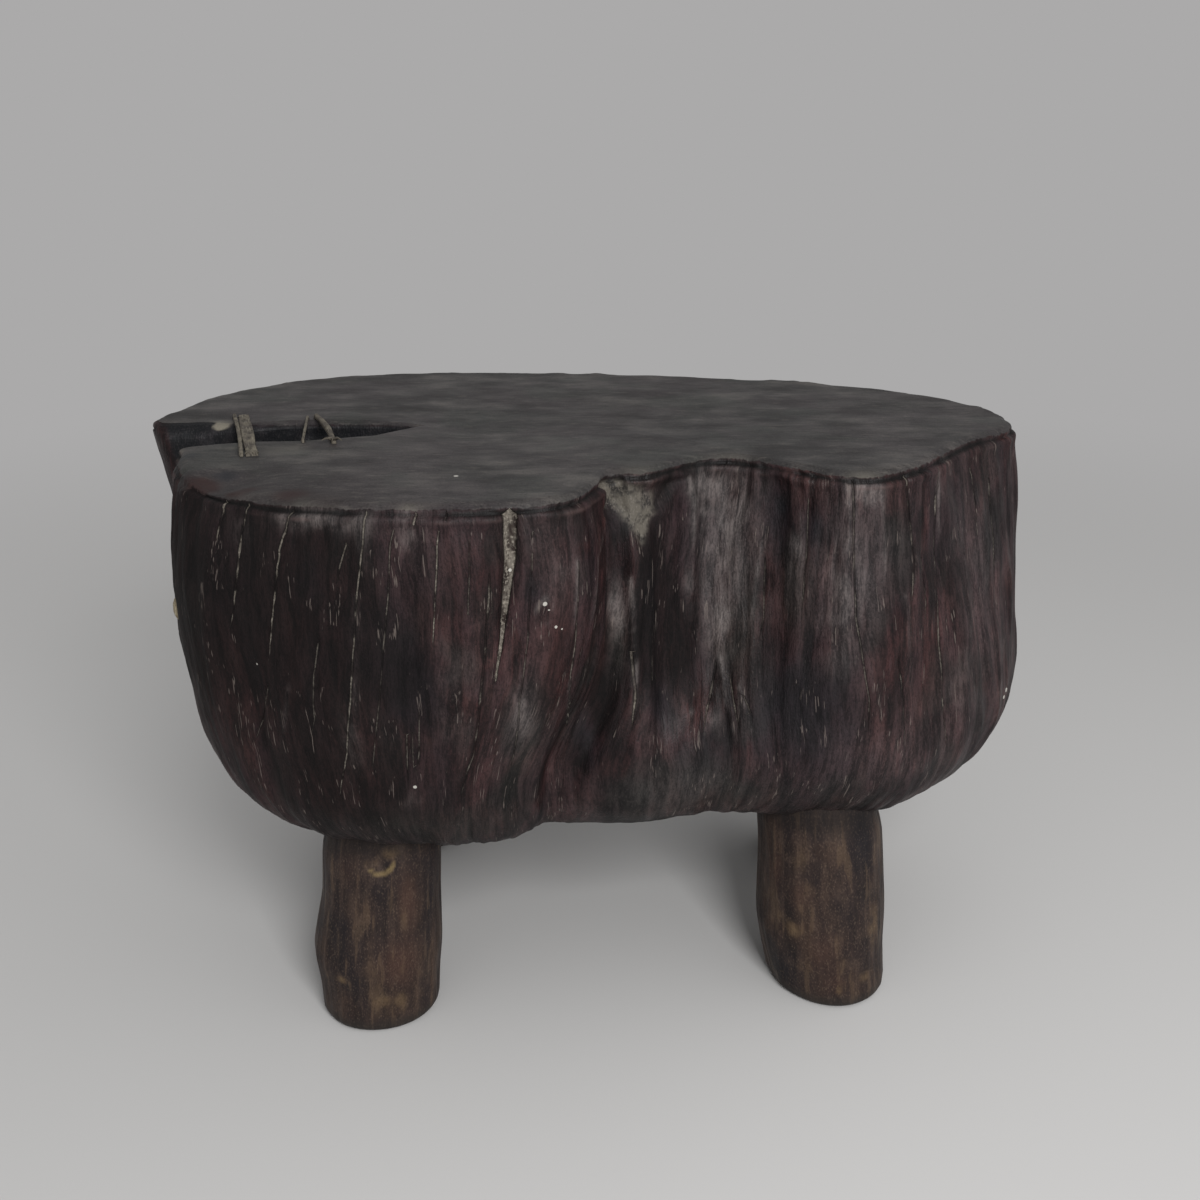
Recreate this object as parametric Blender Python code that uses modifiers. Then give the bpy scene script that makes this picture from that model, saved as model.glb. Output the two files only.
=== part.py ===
"""A low African stool: a seat cut from one fluted tree trunk, on four driven branch legs.

Metres, +Z up. The origin lies on the floor under the middle of the stool. The side
with the two lobes and the wide furrow between them is the front and faces -Y.
"""
import math

import bmesh
import bpy
from mathutils import Matrix, Quaternion, Vector

# Overall sizes
STOOL_HEIGHT = 0.300
SEAT_WIDTH = 0.473
SEAT_DEPTH = 0.287
SEAT_THICKNESS = 0.193

# Fit between touching pieces, and how far a cut runs past the face it opens
CLEARANCE = 0.0003
CUT_OVERRUN = 0.006

# Seat: rounded rim, worn hollow in the middle, small flutes down the sides
RIM_ROUND = 0.006
HOLLOW_DEPTH = 0.0015
RIPPLE_DEPTH = 0.0012

# Seat: how far down the waist and the base lie, and how far the hollow's floor and
# edge reach from a short spine along the middle
WAIST_DROP_SHARE = 0.48
BASE_DROP_SHARE = 0.73
SPINE_SHARE = 0.30
HOLLOW_FLOOR_SHARE = 0.22
HOLLOW_EDGE_SHARE = 0.36
RIM_ANGLES = (0, 30, 60, 90)
UNDER_ANGLES = (20, 40, 58, 75, 90)
WALL_DROP_SHARES = (0.13, 0.25, 0.37, 0.49, 0.61, 0.73)
SAMPLES_TO_A_SPAN = 3
RIPPLE_WAVES = ((23, 0.6, 0.3), (37, 0.4, 1.9))

# Outline of the seat at its top, as shares of half the width and half the depth,
# from the right end round the back, past the split on the left, and along the front
TOP_OUTLINE_SHARES = (
    (0.945, 0.110), (0.935, 0.265), (0.846, 0.50), (0.700, 0.675), (0.524, 0.805),
    (0.315, 0.89), (0.061, 0.965), (-0.192, 1.00), (-0.425, 1.00), (-0.645, 0.915),
    (-0.812, 0.76), (-0.932, 0.53), (-0.985, 0.27), (-1.000, 0.06), (-0.968, -0.08),
    (-0.893, -0.25), (-0.860, -0.38), (-0.834, -0.54), (-0.779, -0.715), (-0.687, -0.857),
    (-0.573, -0.95), (-0.425, -0.99), (-0.256, -1.00), (-0.108, -0.96), (-0.032, -0.877),
    (0.002, -0.753), (0.028, -0.625), (0.095, -0.605), (0.155, -0.527), (0.221, -0.438),
    (0.277, -0.418), (0.340, -0.467), (0.425, -0.566), (0.493, -0.635), (0.568, -0.625),
    (0.653, -0.527), (0.721, -0.379), (0.818, -0.172), (0.894, -0.073), (0.932, -0.004),
)

# The same forty places at the waist, where the furrow grows shallow, the left back
# lobe draws in and the right end swells
WAIST_OUTLINE_SHARES = (
    (0.985, 0.06), (0.972, 0.24), (0.878, 0.48), (0.718, 0.665), (0.535, 0.795),
    (0.322, 0.88), (0.064, 0.965), (-0.190, 0.985), (-0.418, 0.975), (-0.626, 0.865),
    (-0.778, 0.70), (-0.880, 0.485), (-0.918, 0.265), (-0.918, 0.075), (-0.888, -0.07),
    (-0.855, -0.18), (-0.861, -0.335), (-0.865, -0.52), (-0.818, -0.715), (-0.714, -0.86),
    (-0.588, -0.96), (-0.431, -1.00), (-0.262, -1.00), (-0.116, -0.96), (-0.043, -0.885),
    (-0.008, -0.78), (0.024, -0.70), (0.098, -0.69), (0.145, -0.645), (0.190, -0.575),
    (0.252, -0.545), (0.330, -0.59), (0.423, -0.67), (0.508, -0.725), (0.596, -0.705),
    (0.690, -0.62), (0.780, -0.475), (0.868, -0.315), (0.935, -0.165), (0.973, -0.045),
)

# The same places at the base, where the fold beside the front lobe has run left
BASE_OUTLINE_SHARES = (
    (1.000, 0.05), (0.985, 0.24), (0.890, 0.485), (0.722, 0.675), (0.530, 0.79),
    (0.320, 0.875), (0.064, 0.945), (-0.182, 0.96), (-0.402, 0.935), (-0.598, 0.83),
    (-0.735, 0.67), (-0.820, 0.46), (-0.855, 0.26), (-0.860, 0.09), (-0.842, -0.055),
    (-0.818, -0.18), (-0.835, -0.335), (-0.833, -0.52), (-0.785, -0.695), (-0.688, -0.845),
    (-0.572, -0.935), (-0.432, -0.97), (-0.285, -0.965), (-0.180, -0.915), (-0.120, -0.83),
    (-0.095, -0.715), (-0.040, -0.73), (0.055, -0.765), (0.138, -0.75), (0.205, -0.715),
    (0.268, -0.69), (0.340, -0.70), (0.428, -0.735), (0.515, -0.745), (0.605, -0.730),
    (0.705, -0.665), (0.808, -0.54), (0.900, -0.36), (0.960, -0.19), (0.993, -0.055),
)

# The same places round the level underside, where the large round ends
UNDER_OUTLINE_SHARES = (
    (0.810, 0.03), (0.795, 0.17), (0.720, 0.34), (0.600, 0.46), (0.455, 0.51),
    (0.285, 0.57), (0.062, 0.60), (-0.165, 0.60), (-0.360, 0.57), (-0.505, 0.50),
    (-0.585, 0.41), (-0.630, 0.29), (-0.645, 0.17), (-0.640, 0.06), (-0.620, -0.04),
    (-0.600, -0.13), (-0.605, -0.23), (-0.595, -0.34), (-0.565, -0.44), (-0.505, -0.53),
    (-0.440, -0.59), (-0.360, -0.62), (-0.270, -0.63), (-0.200, -0.62), (-0.155, -0.58),
    (-0.115, -0.55), (-0.055, -0.535), (0.040, -0.535), (0.118, -0.52), (0.178, -0.49),
    (0.236, -0.46), (0.295, -0.45), (0.364, -0.445), (0.440, -0.43), (0.515, -0.42),
    (0.600, -0.39), (0.675, -0.31), (0.740, -0.21), (0.782, -0.12), (0.803, -0.04),
)

# Split between the two left lobes, open at the left side and closing in the seat
SPLIT_WIDTH = 0.038
SPLIT_DEPTH = 0.120
# Stations from outside the wall to the closed tip: place along, place across, width
SPLIT_STATION_SHARES = (
    (-1.107, -0.182, 1.05), (-0.876, -0.136, 1.03), (-0.791, -0.098, 0.87),
    (-0.685, -0.063, 1.04), (-0.600, -0.055, 1.00), (-0.533, -0.036, 0.86),
    (-0.477, -0.021, 0.70), (-0.431, 0.011, 0.36), (-0.380, 0.036, 0.0),
)
# Going down the split: share of its depth, of its reach inward and of its width
SPLIT_LEVEL_SHARES = (
    (0.0, 1.0, 1.0), (0.20, 0.93, 0.95), (0.55, 0.75, 0.72), (0.85, 0.55, 0.42), (1.0, 0.42, 0.22),
)

# Broad drying crack down the front lobe, open at the rim and running out lower down
CRACK_WIDTH = 0.0075
CRACK_DEPTH = 0.0045
# Going down the crack: drop, place round the outline, share of its width and of its depth
CRACK_STATION_SHARES = (
    (-0.05, 0.5700, 1.0, 1.0), (0.04, 0.5690, 1.0, 1.0), (0.15, 0.5670, 0.85, 0.95),
    (0.26, 0.5650, 0.62, 0.75), (0.38, 0.5630, 0.42, 0.50), (0.50, 0.5615, 0.20, 0.20),
)
# Its level section: places across it and into it, as shares of the half width and the depth
CRACK_SECTION_SHARES = ((1.0, 0.0), (0.55, 0.75), (0.1, 1.0), (-0.35, 0.85), (-1.0, 0.0))

# Scar of a flake broken off the rim at the head of the furrow
FLAKE_DEPTH = 0.0028
FLAKE_TAPER = 0.0030
# Its corners: place round the outline and drop
FLAKE_CORNER_SHARES = ((0.6400, -0.03), (0.7100, -0.03), (0.6760, 0.185))

# Legs: round branches whose upper ends taper into blind sockets under the seat
LEG_DIAMETER = 0.062
TENON_END_DIAMETER = 0.044
SOCKET_DEPTH = 0.065
FOOT_ROUND = 0.005
LEG_LUMP = 0.004
LEG_SIDES = 24
FOOT_ROUND_STEPS = 3
OVAL_SHARE = 0.025
CORNER_SHARE = 0.015
SOCKET_RING_SHARES = (0.35, 0.70, 1.0)
LUMP_REACH_SHARE = 0.20
# Heights of the rings on the shown part of a leg, from the foot to the seat
LEG_HEIGHT_SHARES = (0.20, 0.36, 0.52, 0.68, 0.84)
# For each leg: place of the foot, splay outward in degrees, girth, girth at each
# height, and the lump's height and bearing in degrees
LEGS = {
    "leg_front_left": {
        "place_shares": (-0.498, -0.592), "splay_degrees": (-3.4, -2.5), "girth_share": 0.99,
        "height_girth_shares": (0.98, 1.02, 1.0, 0.98, 0.99), "lump_height_share": 0.36,
        "lump_bearing": 180.0, "turn": 0.4,
    },
    "leg_front_right": {
        "place_shares": (0.550, -0.425), "splay_degrees": (5.4, -3.0), "girth_share": 1.06,
        "height_girth_shares": (1.0, 1.03, 1.04, 1.04, 1.02), "lump_height_share": 0.30,
        "lump_bearing": 200.0, "turn": 2.1,
    },
    "leg_back_left": {
        "place_shares": (-0.503, 0.620), "splay_degrees": (-3.6, 3.8), "girth_share": 0.97,
        "height_girth_shares": (0.99, 1.0, 1.01, 1.0, 0.99), "lump_height_share": 0.50,
        "lump_bearing": 120.0, "turn": 3.7,
    },
    "leg_back_right": {
        "place_shares": (0.584, 0.474), "splay_degrees": (5.2, 3.2), "girth_share": 1.0,
        "height_girth_shares": (0.98, 1.0, 1.02, 1.01, 1.0), "lump_height_share": 0.45,
        "lump_bearing": 40.0, "turn": 5.0,
    },
}

# Facet where a side branch was sawn off one leg, just below the seat
KNOT_LEG = "leg_front_left"
KNOT_DIAMETER = 0.015
KNOT_DEPTH = 0.0014
KNOT_HEIGHT_SHARE = 0.925
KNOT_BEARING = 275.0
KNOT_SIDES = 20

# Stitches over the split: their ends go down into holes in the seat
STITCH_SET_DEPTH = 0.009
STRAP_WIDTH = 0.0055
STRAP_THICKNESS = 0.0014
STRAP_BEND = 0.0012
THIN_STRAND_DIAMETER = 0.0020
STITCH_BEND_STEPS = 4
STRAND_ROUND_STEPS = 2
HOLE_SIDES = 16
STRAP_END_SHARES = ((-0.804, 0.139), (-0.702, -0.411))
# For each strand: thickness as a share of the thin strand, then its two ends
STRANDS = {
    "stitch_strand_beside_strap": (1.0, (-0.8245, 0.139), (-0.7225, -0.416)),
    "stitch_strand_straight": (1.0, (-0.655, 0.118), (-0.620, -0.237)),
    "stitch_strand_diagonal": (1.25, (-0.637, 0.125), (-0.554, -0.244)),
}

# Peg driven into the left side of the front lobe
PEG_DIAMETER = 0.012
PEG_LENGTH = 0.026
PEG_PROUD = 0.0030
PEG_TIP_SHARE = 0.8
PEG_STEPS = 20
PEG_DOME_STEPS = 4
PEG_MERGE_REACH = 0.0001
PEG_PLACE_SHARE = 0.4325
PEG_DROP_SHARE = 0.364

# Colours as they look, and how dull each surface is
SEAT_COLOUR = "3B2C2A"
LEG_COLOUR = "4E3A2C"
STITCH_COLOUR = "7D725C"
PEG_COLOUR = "A89A7E"
SEAT_ROUGHNESS = 0.50
LEG_ROUGHNESS = 0.62
STITCH_ROUGHNESS = 0.75
PEG_ROUGHNESS = 0.65

HALF_WIDTH = SEAT_WIDTH / 2
HALF_DEPTH = SEAT_DEPTH / 2
UNDERSIDE_HEIGHT = STOOL_HEIGHT - SEAT_THICKNESS


def clear_scene():
    for thing in list(bpy.data.objects):
        bpy.data.objects.remove(thing, do_unlink=True)


def new_collection(name):
    collection = bpy.data.collections.new(name)
    bpy.context.scene.collection.children.link(collection)
    return collection


def linear_colour(hex_text):
    """The colour of six hex digits, turned from display values to linear ones."""
    levels = [int(hex_text[i:i + 2], 16) / 255 for i in (0, 2, 4)]
    linear = [v / 12.92 if v <= 0.04045 else ((v + 0.055) / 1.055) ** 2.4 for v in levels]
    return (*linear, 1.0)


def plain_material(name, hex_text, roughness):
    material = bpy.data.materials.new(name)
    material.use_nodes = True
    shader = material.node_tree.nodes["Principled BSDF"]
    shader.inputs["Base Color"].default_value = linear_colour(hex_text)
    shader.inputs["Roughness"].default_value = roughness
    shader.inputs["Metallic"].default_value = 0.0
    return material


def place_on_seat(shares):
    """A plan place on the seat from its shares of half the width and half the depth."""
    return Vector((shares[0] * HALF_WIDTH, shares[1] * HALF_DEPTH, 0.0))


def add_object(name, data, collection, parent, material=None):
    thing = bpy.data.objects.new(name, data)
    collection.objects.link(thing)
    thing.parent = parent
    if material is not None:
        data.materials.append(material)
    return thing


def hide_cutter(cutter):
    cutter.hide_render = True
    cutter.display_type = "WIRE"


def cut(piece, cutter):
    hide_cutter(cutter)
    boolean = piece.modifiers.new("cut_" + cutter.name, "BOOLEAN")
    boolean.operation = "DIFFERENCE"
    boolean.solver = "EXACT"
    boolean.object = cutter


def lofted_mesh(name, rings):
    """A closed skin through rings of equal count, given from the top ring down."""
    shape = bmesh.new()
    loops = [[shape.verts.new(point) for point in ring] for ring in rings]
    for upper, lower in zip(loops, loops[1:]):
        for i in range(len(upper)):
            after = (i + 1) % len(upper)
            shape.faces.new((upper[i], lower[i], lower[after], upper[after]))
    shape.faces.new(loops[0])
    shape.faces.new(list(reversed(loops[-1])))
    bmesh.ops.recalc_face_normals(shape, faces=shape.faces)
    mesh = bpy.data.meshes.new(name)
    shape.to_mesh(mesh)
    shape.free()
    return mesh


def smooth_loop(points, samples):
    """A closed curve through the points, with so many samples to each span."""
    curve = []
    count = len(points)
    for i in range(count):
        before, start, end, after = (Vector(points[(i + k) % count]) for k in (-1, 0, 1, 2))
        for step in range(samples):
            t = step / samples
            pull = (end - before) * t
            bend = (before * 2 - start * 5 + end * 4 - after) * t ** 2
            twist = (start * 3 - before - end * 3 + after) * t ** 3
            curve.append(start + (pull + bend + twist) / 2)
    return curve


def wall_outline(drop_share, top, waist, base):
    """The outline at a drop below the top, on a curve through the three given ones."""
    to_top, to_waist, to_base = (
        drop_share - share for share in (0.0, WAIST_DROP_SHARE, BASE_DROP_SHARE)
    )
    top_weight = to_waist * to_base / (WAIST_DROP_SHARE * BASE_DROP_SHARE)
    waist_weight = to_top * to_base / (WAIST_DROP_SHARE * (WAIST_DROP_SHARE - BASE_DROP_SHARE))
    base_weight = to_top * to_waist / (BASE_DROP_SHARE * (BASE_DROP_SHARE - WAIST_DROP_SHARE))
    return [a * top_weight + b * waist_weight + c * base_weight for a, b, c in zip(top, waist, base)]


def spine_point(point):
    """The nearest point of a short spine along the seat's middle."""
    spine_end = SPINE_SHARE * HALF_WIDTH
    return Vector((max(-spine_end, min(spine_end, point.x)), 0.0))


def drawn_in(point, inset):
    return point + (spine_point(point) - point).normalized() * inset


def ripple(column_share, drop_share):
    """Small flutes of the trunk, faded out at the top."""
    wave = sum(
        part * math.sin(turns * math.tau * column_share + start)
        for turns, part, start in RIPPLE_WAVES
    )
    return RIPPLE_DEPTH * wave * min(1.0, drop_share / WALL_DROP_SHARES[0])


def seat_rings():
    """Rings of the uncut seat, fitted to its width and depth, heights from its underside."""
    top, waist, base, under = (
        smooth_loop([(x * HALF_WIDTH, y * HALF_DEPTH) for x, y in shares], SAMPLES_TO_A_SPAN)
        for shares in (
            TOP_OUTLINE_SHARES, WAIST_OUTLINE_SHARES, BASE_OUTLINE_SHARES, UNDER_OUTLINE_SHARES,
        )
    )
    levels = []
    rim = [drawn_in(point, RIM_ROUND) for point in top]
    for share, drop in ((HOLLOW_FLOOR_SHARE, HOLLOW_DEPTH), (HOLLOW_EDGE_SHARE, 0.0)):
        levels.append((drop, [spine_point(point).lerp(point, share) for point in rim]))
    for angle in RIM_ANGLES:
        turn = math.radians(angle)
        inset = RIM_ROUND * (1 - math.sin(turn))
        levels.append((RIM_ROUND * (1 - math.cos(turn)), [drawn_in(point, inset) for point in top]))
    for drop_share in WALL_DROP_SHARES:
        outline = wall_outline(drop_share, top, waist, base)
        fluted = [
            drawn_in(point, ripple(column / len(outline), drop_share))
            for column, point in enumerate(outline)
        ]
        levels.append((drop_share * SEAT_THICKNESS, fluted))
    base_drop, lowest_wall = levels[-1]
    for angle in UNDER_ANGLES:
        turn = math.radians(angle)
        drop = base_drop + (SEAT_THICKNESS - base_drop) * math.sin(turn)
        inward = 1 - math.cos(turn)
        levels.append((drop, [a.lerp(b, inward) for a, b in zip(lowest_wall, under)]))
    rings = [
        [Vector((point.x, point.y, SEAT_THICKNESS - drop)) for point in ring]
        for drop, ring in levels
    ]
    return fitted(rings)


def fitted(rings):
    """The rings moved and stretched a little so that they fill the named box."""
    points = [point for ring in rings for point in ring]
    for axis, size in ((0, SEAT_WIDTH), (1, SEAT_DEPTH)):
        low = min(point[axis] for point in points)
        high = max(point[axis] for point in points)
        for point in points:
            point[axis] = (point[axis] - (low + high) / 2) * size / (high - low)
    return rings


def add_split_cutter(collection, parent):
    """The split's hollow: a slot that narrows downward and closes towards the seat's middle."""
    mouth = SPLIT_STATION_SHARES[0][0]
    bottom = SEAT_THICKNESS - SPLIT_DEPTH
    levels = [(SEAT_THICKNESS + CUT_OVERRUN, 1.0, 1.0)]
    levels += [
        (bottom + SPLIT_DEPTH * (1 - depth), reach, width)
        for depth, reach, width in SPLIT_LEVEL_SHARES
    ]
    rings = []
    for height, reach, width in levels:
        front_lip = []
        back_lip = []
        for along, across, station_width in SPLIT_STATION_SHARES:
            middle = place_on_seat((mouth + (along - mouth) * reach, across))
            half = Vector((0.0, SPLIT_WIDTH / 2 * station_width * width, -height))
            front_lip.append(middle - half)
            back_lip.append(Vector((middle.x, middle.y + half.y, height)))
        rings.append(front_lip + back_lip[-2::-1])
    cutter = add_object("split_cutter", lofted_mesh("split_cutter", rings), collection, parent)
    cutter.location.z = UNDERSIDE_HEIGHT
    return cutter


def leg_centre(leg, height):
    """Where the branch's middle lies at a height, measured from the middle of its foot."""
    splay_x, splay_y = (math.radians(angle) for angle in leg["splay_degrees"])
    return Vector((-height * math.tan(splay_x), -height * math.tan(splay_y), height))


def leg_ring(leg, height, radius, growth=0.0):
    """One level ring of a branch: slightly oval, three-cornered and lumpy."""
    centre = leg_centre(leg, height)
    lump_height = leg["lump_height_share"] * UNDERSIDE_HEIGHT
    lump_reach = LUMP_REACH_SHARE * UNDERSIDE_HEIGHT
    nearness = math.exp(-((height - lump_height) / lump_reach) ** 2)
    ring = []
    for side in range(LEG_SIDES):
        bearing = math.tau * side / LEG_SIDES
        oval = OVAL_SHARE * math.cos(2 * bearing + leg["turn"])
        corners = CORNER_SHARE * math.cos(3 * bearing + 2 * leg["turn"])
        facing = max(0.0, math.cos(bearing - math.radians(leg["lump_bearing"])))
        reach = radius * (1 + oval + corners) + LEG_LUMP * nearness * facing ** 2 + growth
        ring.append(centre + Vector((math.cos(bearing), math.sin(bearing), 0.0)) * reach)
    return ring


def socket_rings(leg, growth):
    """The driven end of a branch, from its blind end down to just below the seat."""
    entry_height = UNDERSIDE_HEIGHT - CUT_OVERRUN
    entry_radius = LEG_DIAMETER / 2 * leg["girth_share"] * leg["height_girth_shares"][-1]
    rings = []
    for share in reversed(SOCKET_RING_SHARES):
        radius = entry_radius + (TENON_END_DIAMETER / 2 - entry_radius) * share
        height = UNDERSIDE_HEIGHT + SOCKET_DEPTH * share
        if share == SOCKET_RING_SHARES[-1]:
            height += growth
        rings.append(leg_ring(leg, height, radius, growth))
    rings.append(leg_ring(leg, entry_height, entry_radius, growth))
    return rings


def leg_rings(leg):
    rings = socket_rings(leg, 0.0)
    girth = LEG_DIAMETER / 2 * leg["girth_share"]
    shown = zip(LEG_HEIGHT_SHARES, leg["height_girth_shares"])
    for height_share, girth_share in reversed(list(shown)):
        rings.append(leg_ring(leg, height_share * UNDERSIDE_HEIGHT, girth * girth_share))
    foot_girth = girth * leg["height_girth_shares"][0]
    for step in range(FOOT_ROUND_STEPS + 1):
        turn = math.pi / 2 * step / FOOT_ROUND_STEPS
        height = FOOT_ROUND * (1 - math.sin(turn))
        rings.append(leg_ring(leg, height, foot_girth - FOOT_ROUND * (1 - math.cos(turn))))
    return rings


def round_hole(radius, depth, sides, along=0.0):
    """A round hole's shape: as deep as given below the face it opens, and running out past it."""
    hole = bmesh.new()
    middle = Vector((along, 0.0, (CUT_OVERRUN - depth) / 2))
    bmesh.ops.create_cone(
        hole, cap_ends=True, segments=sides, radius1=radius, radius2=radius,
        depth=depth + CUT_OVERRUN, matrix=Matrix.Translation(middle),
    )
    return hole


def cut_hole(name, hole, piece, location, turn, cutters, parent):
    """Cuts a hole into a piece with the bmesh of its shape, placed and turned."""
    mesh = bpy.data.meshes.new(name)
    hole.to_mesh(mesh)
    hole.free()
    cutter = add_object(name, mesh, cutters, parent)
    cutter.location = location
    cutter.rotation_mode = "QUATERNION"
    cutter.rotation_quaternion = turn
    cut(piece, cutter)


def cut_knot_facet(leg, branch, cutters, parent):
    """The flat facet left by a sawn-off side branch."""
    height = KNOT_HEIGHT_SHARE * UNDERSIDE_HEIGHT
    bearing = math.radians(KNOT_BEARING)
    ring = leg_ring(leg, height, LEG_DIAMETER / 2 * leg["girth_share"])
    point = ring[round(bearing / math.tau * LEG_SIDES)]
    turn = Vector((math.cos(bearing), math.sin(bearing), 0.0)).to_track_quat("Z", "Y")
    facet = round_hole(KNOT_DIAMETER / 2, KNOT_DEPTH, KNOT_SIDES)
    cut_hole("knot_facet_cutter", facet, branch, branch.location + point, turn, cutters, parent)


def add_leg(name, leg, seat, collection, cutters, parent):
    material = plain_material(name + "_wood", LEG_COLOUR, LEG_ROUGHNESS)
    branch = add_object(name, lofted_mesh(name, leg_rings(leg)), collection, parent, material)
    branch.location = place_on_seat(leg["place_shares"])
    socket_name = name + "_socket_cutter"
    socket_mesh = lofted_mesh(socket_name, socket_rings(leg, CLEARANCE))
    socket = add_object(socket_name, socket_mesh, cutters, parent)
    socket.location = branch.location
    cut(seat, socket)
    if name == KNOT_LEG:
        cut_knot_facet(leg, branch, cutters, parent)


def stitch_frame(ends):
    """Where a stitch's middle lies on the seat top, its turn, and the length between ends."""
    start, end = (place_on_seat(shares) for shares in ends)
    middle = (start + end) / 2
    middle.z = STOOL_HEIGHT
    run = end - start
    return middle, run.to_track_quat("X", "Z"), run.length


def stitch_bends(half_length, radius, crown):
    """The two round bends of a stitch seen from its side, from its first end to its other."""
    bends = []
    for side in (-1, 1):
        for step in range(STITCH_BEND_STEPS + 1):
            turn = math.pi / 2 * step / STITCH_BEND_STEPS
            if side > 0:
                turn = math.pi / 2 - turn
            along = half_length - radius * (1 - math.cos(turn))
            bends.append((side * along, crown - radius * (1 - math.sin(turn))))
    return bends


def add_strap(seat, collection, cutters, parent):
    """The flat strap: a staple-shaped outline, as thick as the strap, given its width."""
    middle, turn, length = stitch_frame(STRAP_END_SHARES)
    outer = length / 2 + STRAP_THICKNESS / 2
    inner = length / 2 - STRAP_THICKNESS / 2
    outline = [(-inner, -STITCH_SET_DEPTH), (-outer, -STITCH_SET_DEPTH)]
    outline += stitch_bends(outer, STRAP_BEND, CLEARANCE + STRAP_THICKNESS)
    outline += [(outer, -STITCH_SET_DEPTH), (inner, -STITCH_SET_DEPTH)]
    outline += [(inner, CLEARANCE), (-inner, CLEARANCE)]
    curve = bpy.data.curves.new("stitch_strap", "CURVE")
    curve.dimensions = "2D"
    curve.fill_mode = "BOTH"
    curve.extrude = STRAP_WIDTH / 2
    spline = curve.splines.new("POLY")
    spline.points.add(len(outline) - 1)
    for knot, (along, up) in zip(spline.points, outline):
        knot.co = (along, up, 0.0, 1.0)
    spline.use_cyclic_u = True
    material = plain_material("stitch_strap_hide", STITCH_COLOUR, STITCH_ROUGHNESS)
    strap = add_object("stitch_strap", curve, collection, parent, material)
    strap.location = middle
    strap.rotation_mode = "QUATERNION"
    strap.rotation_quaternion = turn @ Quaternion((1.0, 0.0, 0.0), math.pi / 2)
    size = (
        STRAP_THICKNESS + 2 * CLEARANCE,
        STRAP_WIDTH + 2 * CLEARANCE,
        STITCH_SET_DEPTH + CLEARANCE + CUT_OVERRUN,
    )
    for side, label in ((-1, "back"), (1, "front")):
        slot = bmesh.new()
        bmesh.ops.create_cube(slot, size=1.0)
        bmesh.ops.scale(slot, vec=size, verts=slot.verts)
        place = (side * length / 2, 0.0, CUT_OVERRUN - size[2] / 2)
        bmesh.ops.translate(slot, vec=place, verts=slot.verts)
        name = "stitch_strap_" + label + "_hole_cutter"
        cut_hole(name, slot, seat, middle, turn, cutters, parent)


def add_strand(name, thickness_share, ends, seat, collection, cutters, parent):
    """A round strand: up out of one hole, over the split, and down into the other."""
    middle, turn, length = stitch_frame(ends)
    radius = THIN_STRAND_DIAMETER / 2 * thickness_share
    bend = radius + CLEARANCE
    path = [(-length / 2, -STITCH_SET_DEPTH)]
    path += stitch_bends(length / 2, bend, bend)
    path.append((length / 2, -STITCH_SET_DEPTH))
    curve = bpy.data.curves.new(name, "CURVE")
    curve.dimensions = "3D"
    curve.bevel_depth = radius
    curve.bevel_resolution = STRAND_ROUND_STEPS
    curve.use_fill_caps = True
    spline = curve.splines.new("POLY")
    spline.points.add(len(path) - 1)
    for knot, (along, up) in zip(spline.points, path):
        knot.co = (along, 0.0, up, 1.0)
    material = plain_material(name + "_hide", STITCH_COLOUR, STITCH_ROUGHNESS)
    strand = add_object(name, curve, collection, parent, material)
    strand.location = middle
    strand.rotation_mode = "QUATERNION"
    strand.rotation_quaternion = turn
    depth = STITCH_SET_DEPTH + CLEARANCE
    for side, label in ((-1, "back"), (1, "front")):
        hole = round_hole(radius + CLEARANCE, depth, HOLE_SIDES, side * length / 2)
        hole_name = name + "_" + label + "_hole_cutter"
        cut_hole(hole_name, hole, seat, middle, turn, cutters, parent)


def side_place(rings, column_share, drop_share):
    """A point on the seat's side, or straight above its rim, and the level way out of it."""
    height = SEAT_THICKNESS * (1 - drop_share)
    sought = min(height, SEAT_THICKNESS - RIM_ROUND)
    column = column_share * len(rings[0])
    near = int(column)
    above, below = next(
        (upper, lower) for upper, lower in zip(rings, rings[1:])
        if upper[near].z >= sought > lower[near].z
    )
    part = (above[near].z - sought) / (above[near].z - below[near].z)
    start, end = (above[k].lerp(below[k], part) for k in (near, near + 1))
    point = start.lerp(end, column - near)
    point.z = UNDERSIDE_HEIGHT + height
    along = end - start
    return point, Vector((along.y, -along.x, 0.0)).normalized()


def add_crack_cutter(rings, collection, parent):
    """The broad crack's hollow: level sections down the wall, each narrower and shallower."""
    sections = []
    for drop_share, column_share, width_share, depth_share in CRACK_STATION_SHARES:
        point, outward = side_place(rings, column_share, drop_share)
        across = Vector((-outward.y, outward.x, 0.0))
        half = CRACK_WIDTH / 2 * width_share
        depth = CRACK_DEPTH * depth_share
        section = [
            point + across * half * side - outward * depth * inward
            for side, inward in CRACK_SECTION_SHARES
        ]
        outside = point + outward * CUT_OVERRUN
        section += [outside - across * half, outside + across * half]
        sections.append(section)
    return add_object("crack_cutter", lofted_mesh("crack_cutter", sections), collection, parent)


def add_flake_cutter(rings, collection, parent):
    """The flake scar's hollow: a shallow triangle, tapering inward to a flat floor."""
    places = [side_place(rings, *corner) for corner in FLAKE_CORNER_SHARES]
    corners = [point for point, _ in places]
    middle = (corners[0] + corners[1] + corners[2]) / 3
    outward = (corners[1] - corners[0]).cross(corners[2] - corners[0]).normalized()
    if outward.dot(places[-1][1]) < 0:
        outward.negate()
    mouth = [
        corner + (corner - middle).normalized() * FLAKE_TAPER + outward * CUT_OVERRUN
        for corner in corners
    ]
    floor = [corner - outward * FLAKE_DEPTH for corner in corners]
    return add_object("flake_cutter", lofted_mesh("flake_cutter", [mouth, floor]), collection, parent)


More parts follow.
